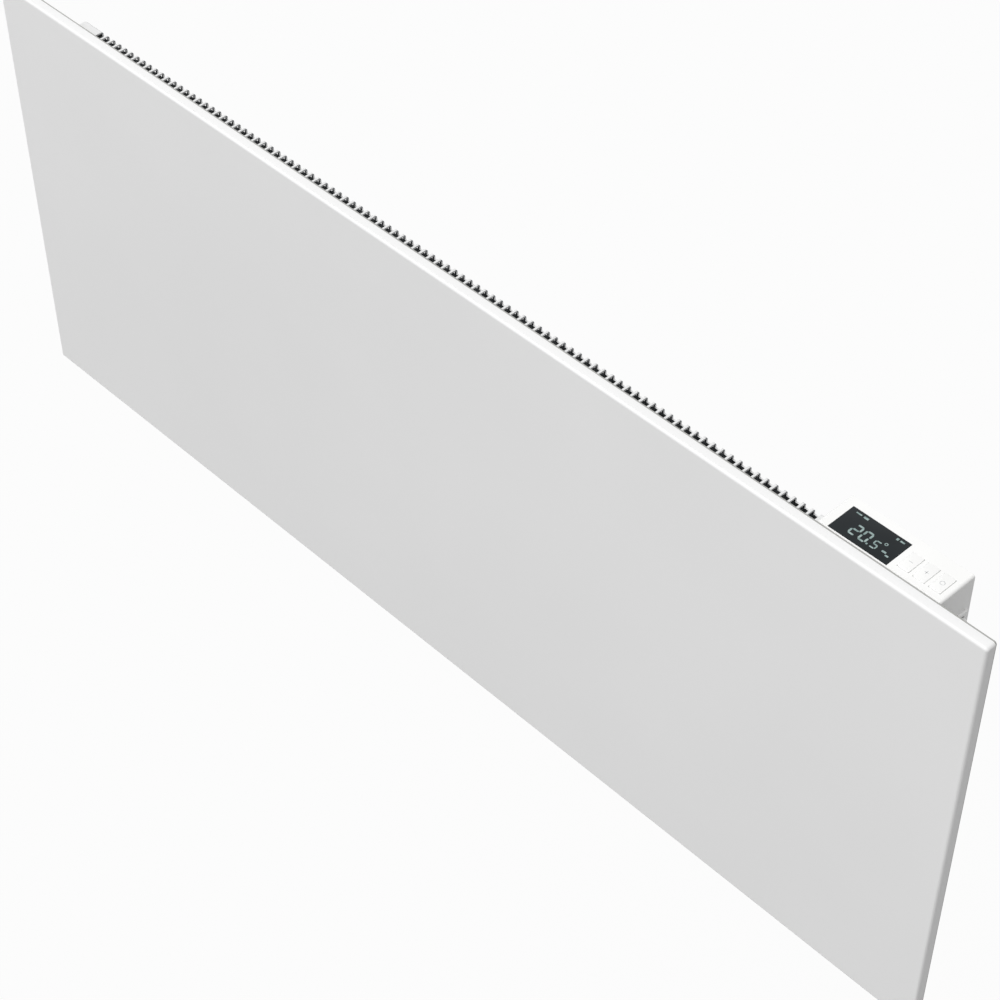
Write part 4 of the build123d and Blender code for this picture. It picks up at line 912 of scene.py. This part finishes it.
for node in ("casing_screws", "cover_screws"):
    heads = bmesh.new()
    for low, high in islands(node):
        foot = Vector(((low.x + high.x) / 2, low.y, (low.z + high.z) / 2))
        add_hex_head(heads, foot, towards_wall, (high.x - low.x) / 2, high.y - low.y)
    finish_piece(node[:-1] + "_heads", heads, zinc_screw, "heater", [node])

# %% [markdown]
# ## Rivets of the wall bracket
# The cross rails are riveted to the uprights' inner flanges. A rivet's head is a low dome: here
# a sphere, pressed flat, whose inner half is sunk in the rail. The rivets ride on the heater's
# body, as the bracket does.

# %% Rivet the bracket
rivet_radius = 2.6 * mm
rivet_height = 1.2 * mm
rivet_end_gap = 9.0 * mm    # from a rail's ends
rivet_side_step = 6.5 * mm  # above and below a rail's middle
bracket_sheet = 1.5 * mm
rivets = bmesh.new()
for rail in ("upper_cross_rail", "lower_cross_rail"):
    rail_low, rail_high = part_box(rail)
    web_front = rail_high[1] - bracket_sheet
    middle_z = (rail_low[2] + rail_high[2]) / 2
    for x in (rail_low[0] + rivet_end_gap, rail_high[0] - rivet_end_gap):
        for z in (middle_z - rivet_side_step, middle_z + rivet_side_step):
            dome = bmesh.ops.create_uvsphere(rivets, u_segments=20, v_segments=12, radius=1.0)
            bmesh.ops.scale(rivets, vec=(rivet_radius, rivet_height, rivet_radius),
                            verts=dome["verts"])
            bmesh.ops.translate(rivets, vec=(x, web_front, z), verts=dome["verts"])
rivet_heads = finish_piece("bracket_rivet_heads", rivets, bracket_coat, "heater")

# %% [markdown]
# ## Floor, world and light
# The photograph shows a plain white ground without a shadow. A wide pale floor stands well
# below the heater. To the camera it gives most of its own white and a little of what light falls
# on it, so a soft shadow can still be seen, and to the heater it is a calm grey that throws no
# glare from below. One broad sun from the front left, above, lights the top most and the front
# less, and leaves the right end in the weak light of the world.

# %% Lay the floor
floor_drop = 0.75
floor_size = 30.0
floor_own_white = 0.96
floor_grit_mm = 40.0


def seen_rays(material):
    """1 for rays from the camera, from a mirror or through glass, and 0 for rays of light."""
    rays = add_node(material, "ShaderNodeLightPath")
    direct = add_node(material, "ShaderNodeMath", {"operation": "MAXIMUM"},
                      Value=rays.outputs["Is Camera Ray"],
                      Value_001=rays.outputs["Is Glossy Ray"])
    every = add_node(material, "ShaderNodeMath", {"operation": "MAXIMUM"},
                     Value=direct.outputs["Value"],
                     Value_001=rays.outputs["Is Transmission Ray"])
    return every.outputs["Value"]


floor_mesh = bmesh.new()
bmesh.ops.create_grid(floor_mesh, x_segments=1, y_segments=1, size=floor_size / 2)
bmesh.ops.translate(floor_mesh, vec=(0, 0, solid_low.z - floor_drop), verts=floor_mesh.verts)
floor_data = bpy.data.meshes.new("floor")
floor_mesh.to_mesh(floor_data)
floor_mesh.free()
floor = bpy.data.objects.new("floor", floor_data)
bpy.context.scene.collection.objects.link(floor)

floor_paint, floor_shader, floor_place = new_material("pale_floor")
floor_shader.inputs["Base Color"].default_value = linear("#929292")
floor_shader.inputs["Roughness"].default_value = 0.9
grit = add_node(floor_paint, "ShaderNodeTexNoise", Vector=floor_place,
                Scale=waves_per_metre(floor_grit_mm))
floor_bump = add_node(floor_paint, "ShaderNodeBump", Strength=0.05, Height=grit.outputs["Fac"])
join(floor_paint, floor_bump.outputs["Normal"], floor_shader.inputs["Normal"])
floor_white = add_node(floor_paint, "ShaderNodeEmission", Color=linear("#FFFFFF"), Strength=1.0)
seen = add_node(floor_paint, "ShaderNodeMath", {"operation": "MULTIPLY"},
                Value=seen_rays(floor_paint), Value_001=floor_own_white)
floor_mix = add_node(floor_paint, "ShaderNodeMixShader", Fac=seen.outputs["Value"],
                     Shader=floor_shader.outputs["BSDF"],
                     Shader_001=floor_white.outputs["Emission"])
floor_out = floor_paint.node_tree.nodes["Material Output"]
join(floor_paint, floor_mix.outputs["Shader"], floor_out.inputs["Surface"])
floor_data.materials.append(floor_paint)
print("floor lies", floor_drop, "m below the panel")

# %% Light the object
world_level = 0.47
sun_level = 2.3
sun_spread = radians(40)
world = bpy.data.worlds.new("studio")
bpy.context.scene.world = world
world.use_nodes = True
grey_light = world.node_tree.nodes["Background"]
grey_light.inputs["Color"].default_value = (1, 1, 1, 1)
grey_light.inputs["Strength"].default_value = world_level
white_ground = add_node(world, "ShaderNodeBackground", Color=(1, 1, 1, 1), Strength=1.0)
world_mix = add_node(world, "ShaderNodeMixShader", Fac=seen_rays(world),
                     Shader=grey_light.outputs["Background"],
                     Shader_001=white_ground.outputs["Background"])
join(world, world_mix.outputs["Shader"], world.node_tree.nodes["World Output"].inputs["Surface"])

sun_data = bpy.data.lights.new("window_light", "SUN")
sun_data.energy = sun_level
sun_data.angle = sun_spread
sun = bpy.data.objects.new("window_light", sun_data)
bpy.context.scene.collection.objects.link(sun)
towards_sun = Vector((-0.15, -0.42, 0.72)).normalized()
sun.matrix_world = towards_sun.to_track_quat("Z", "Y").to_matrix().to_4x4()
bpy.context.scene.view_settings.view_transform = "Standard"
print("sun stands", round(90 - towards_sun.angle(Vector((0, 0, 1))) * 180 / pi), "degrees high")
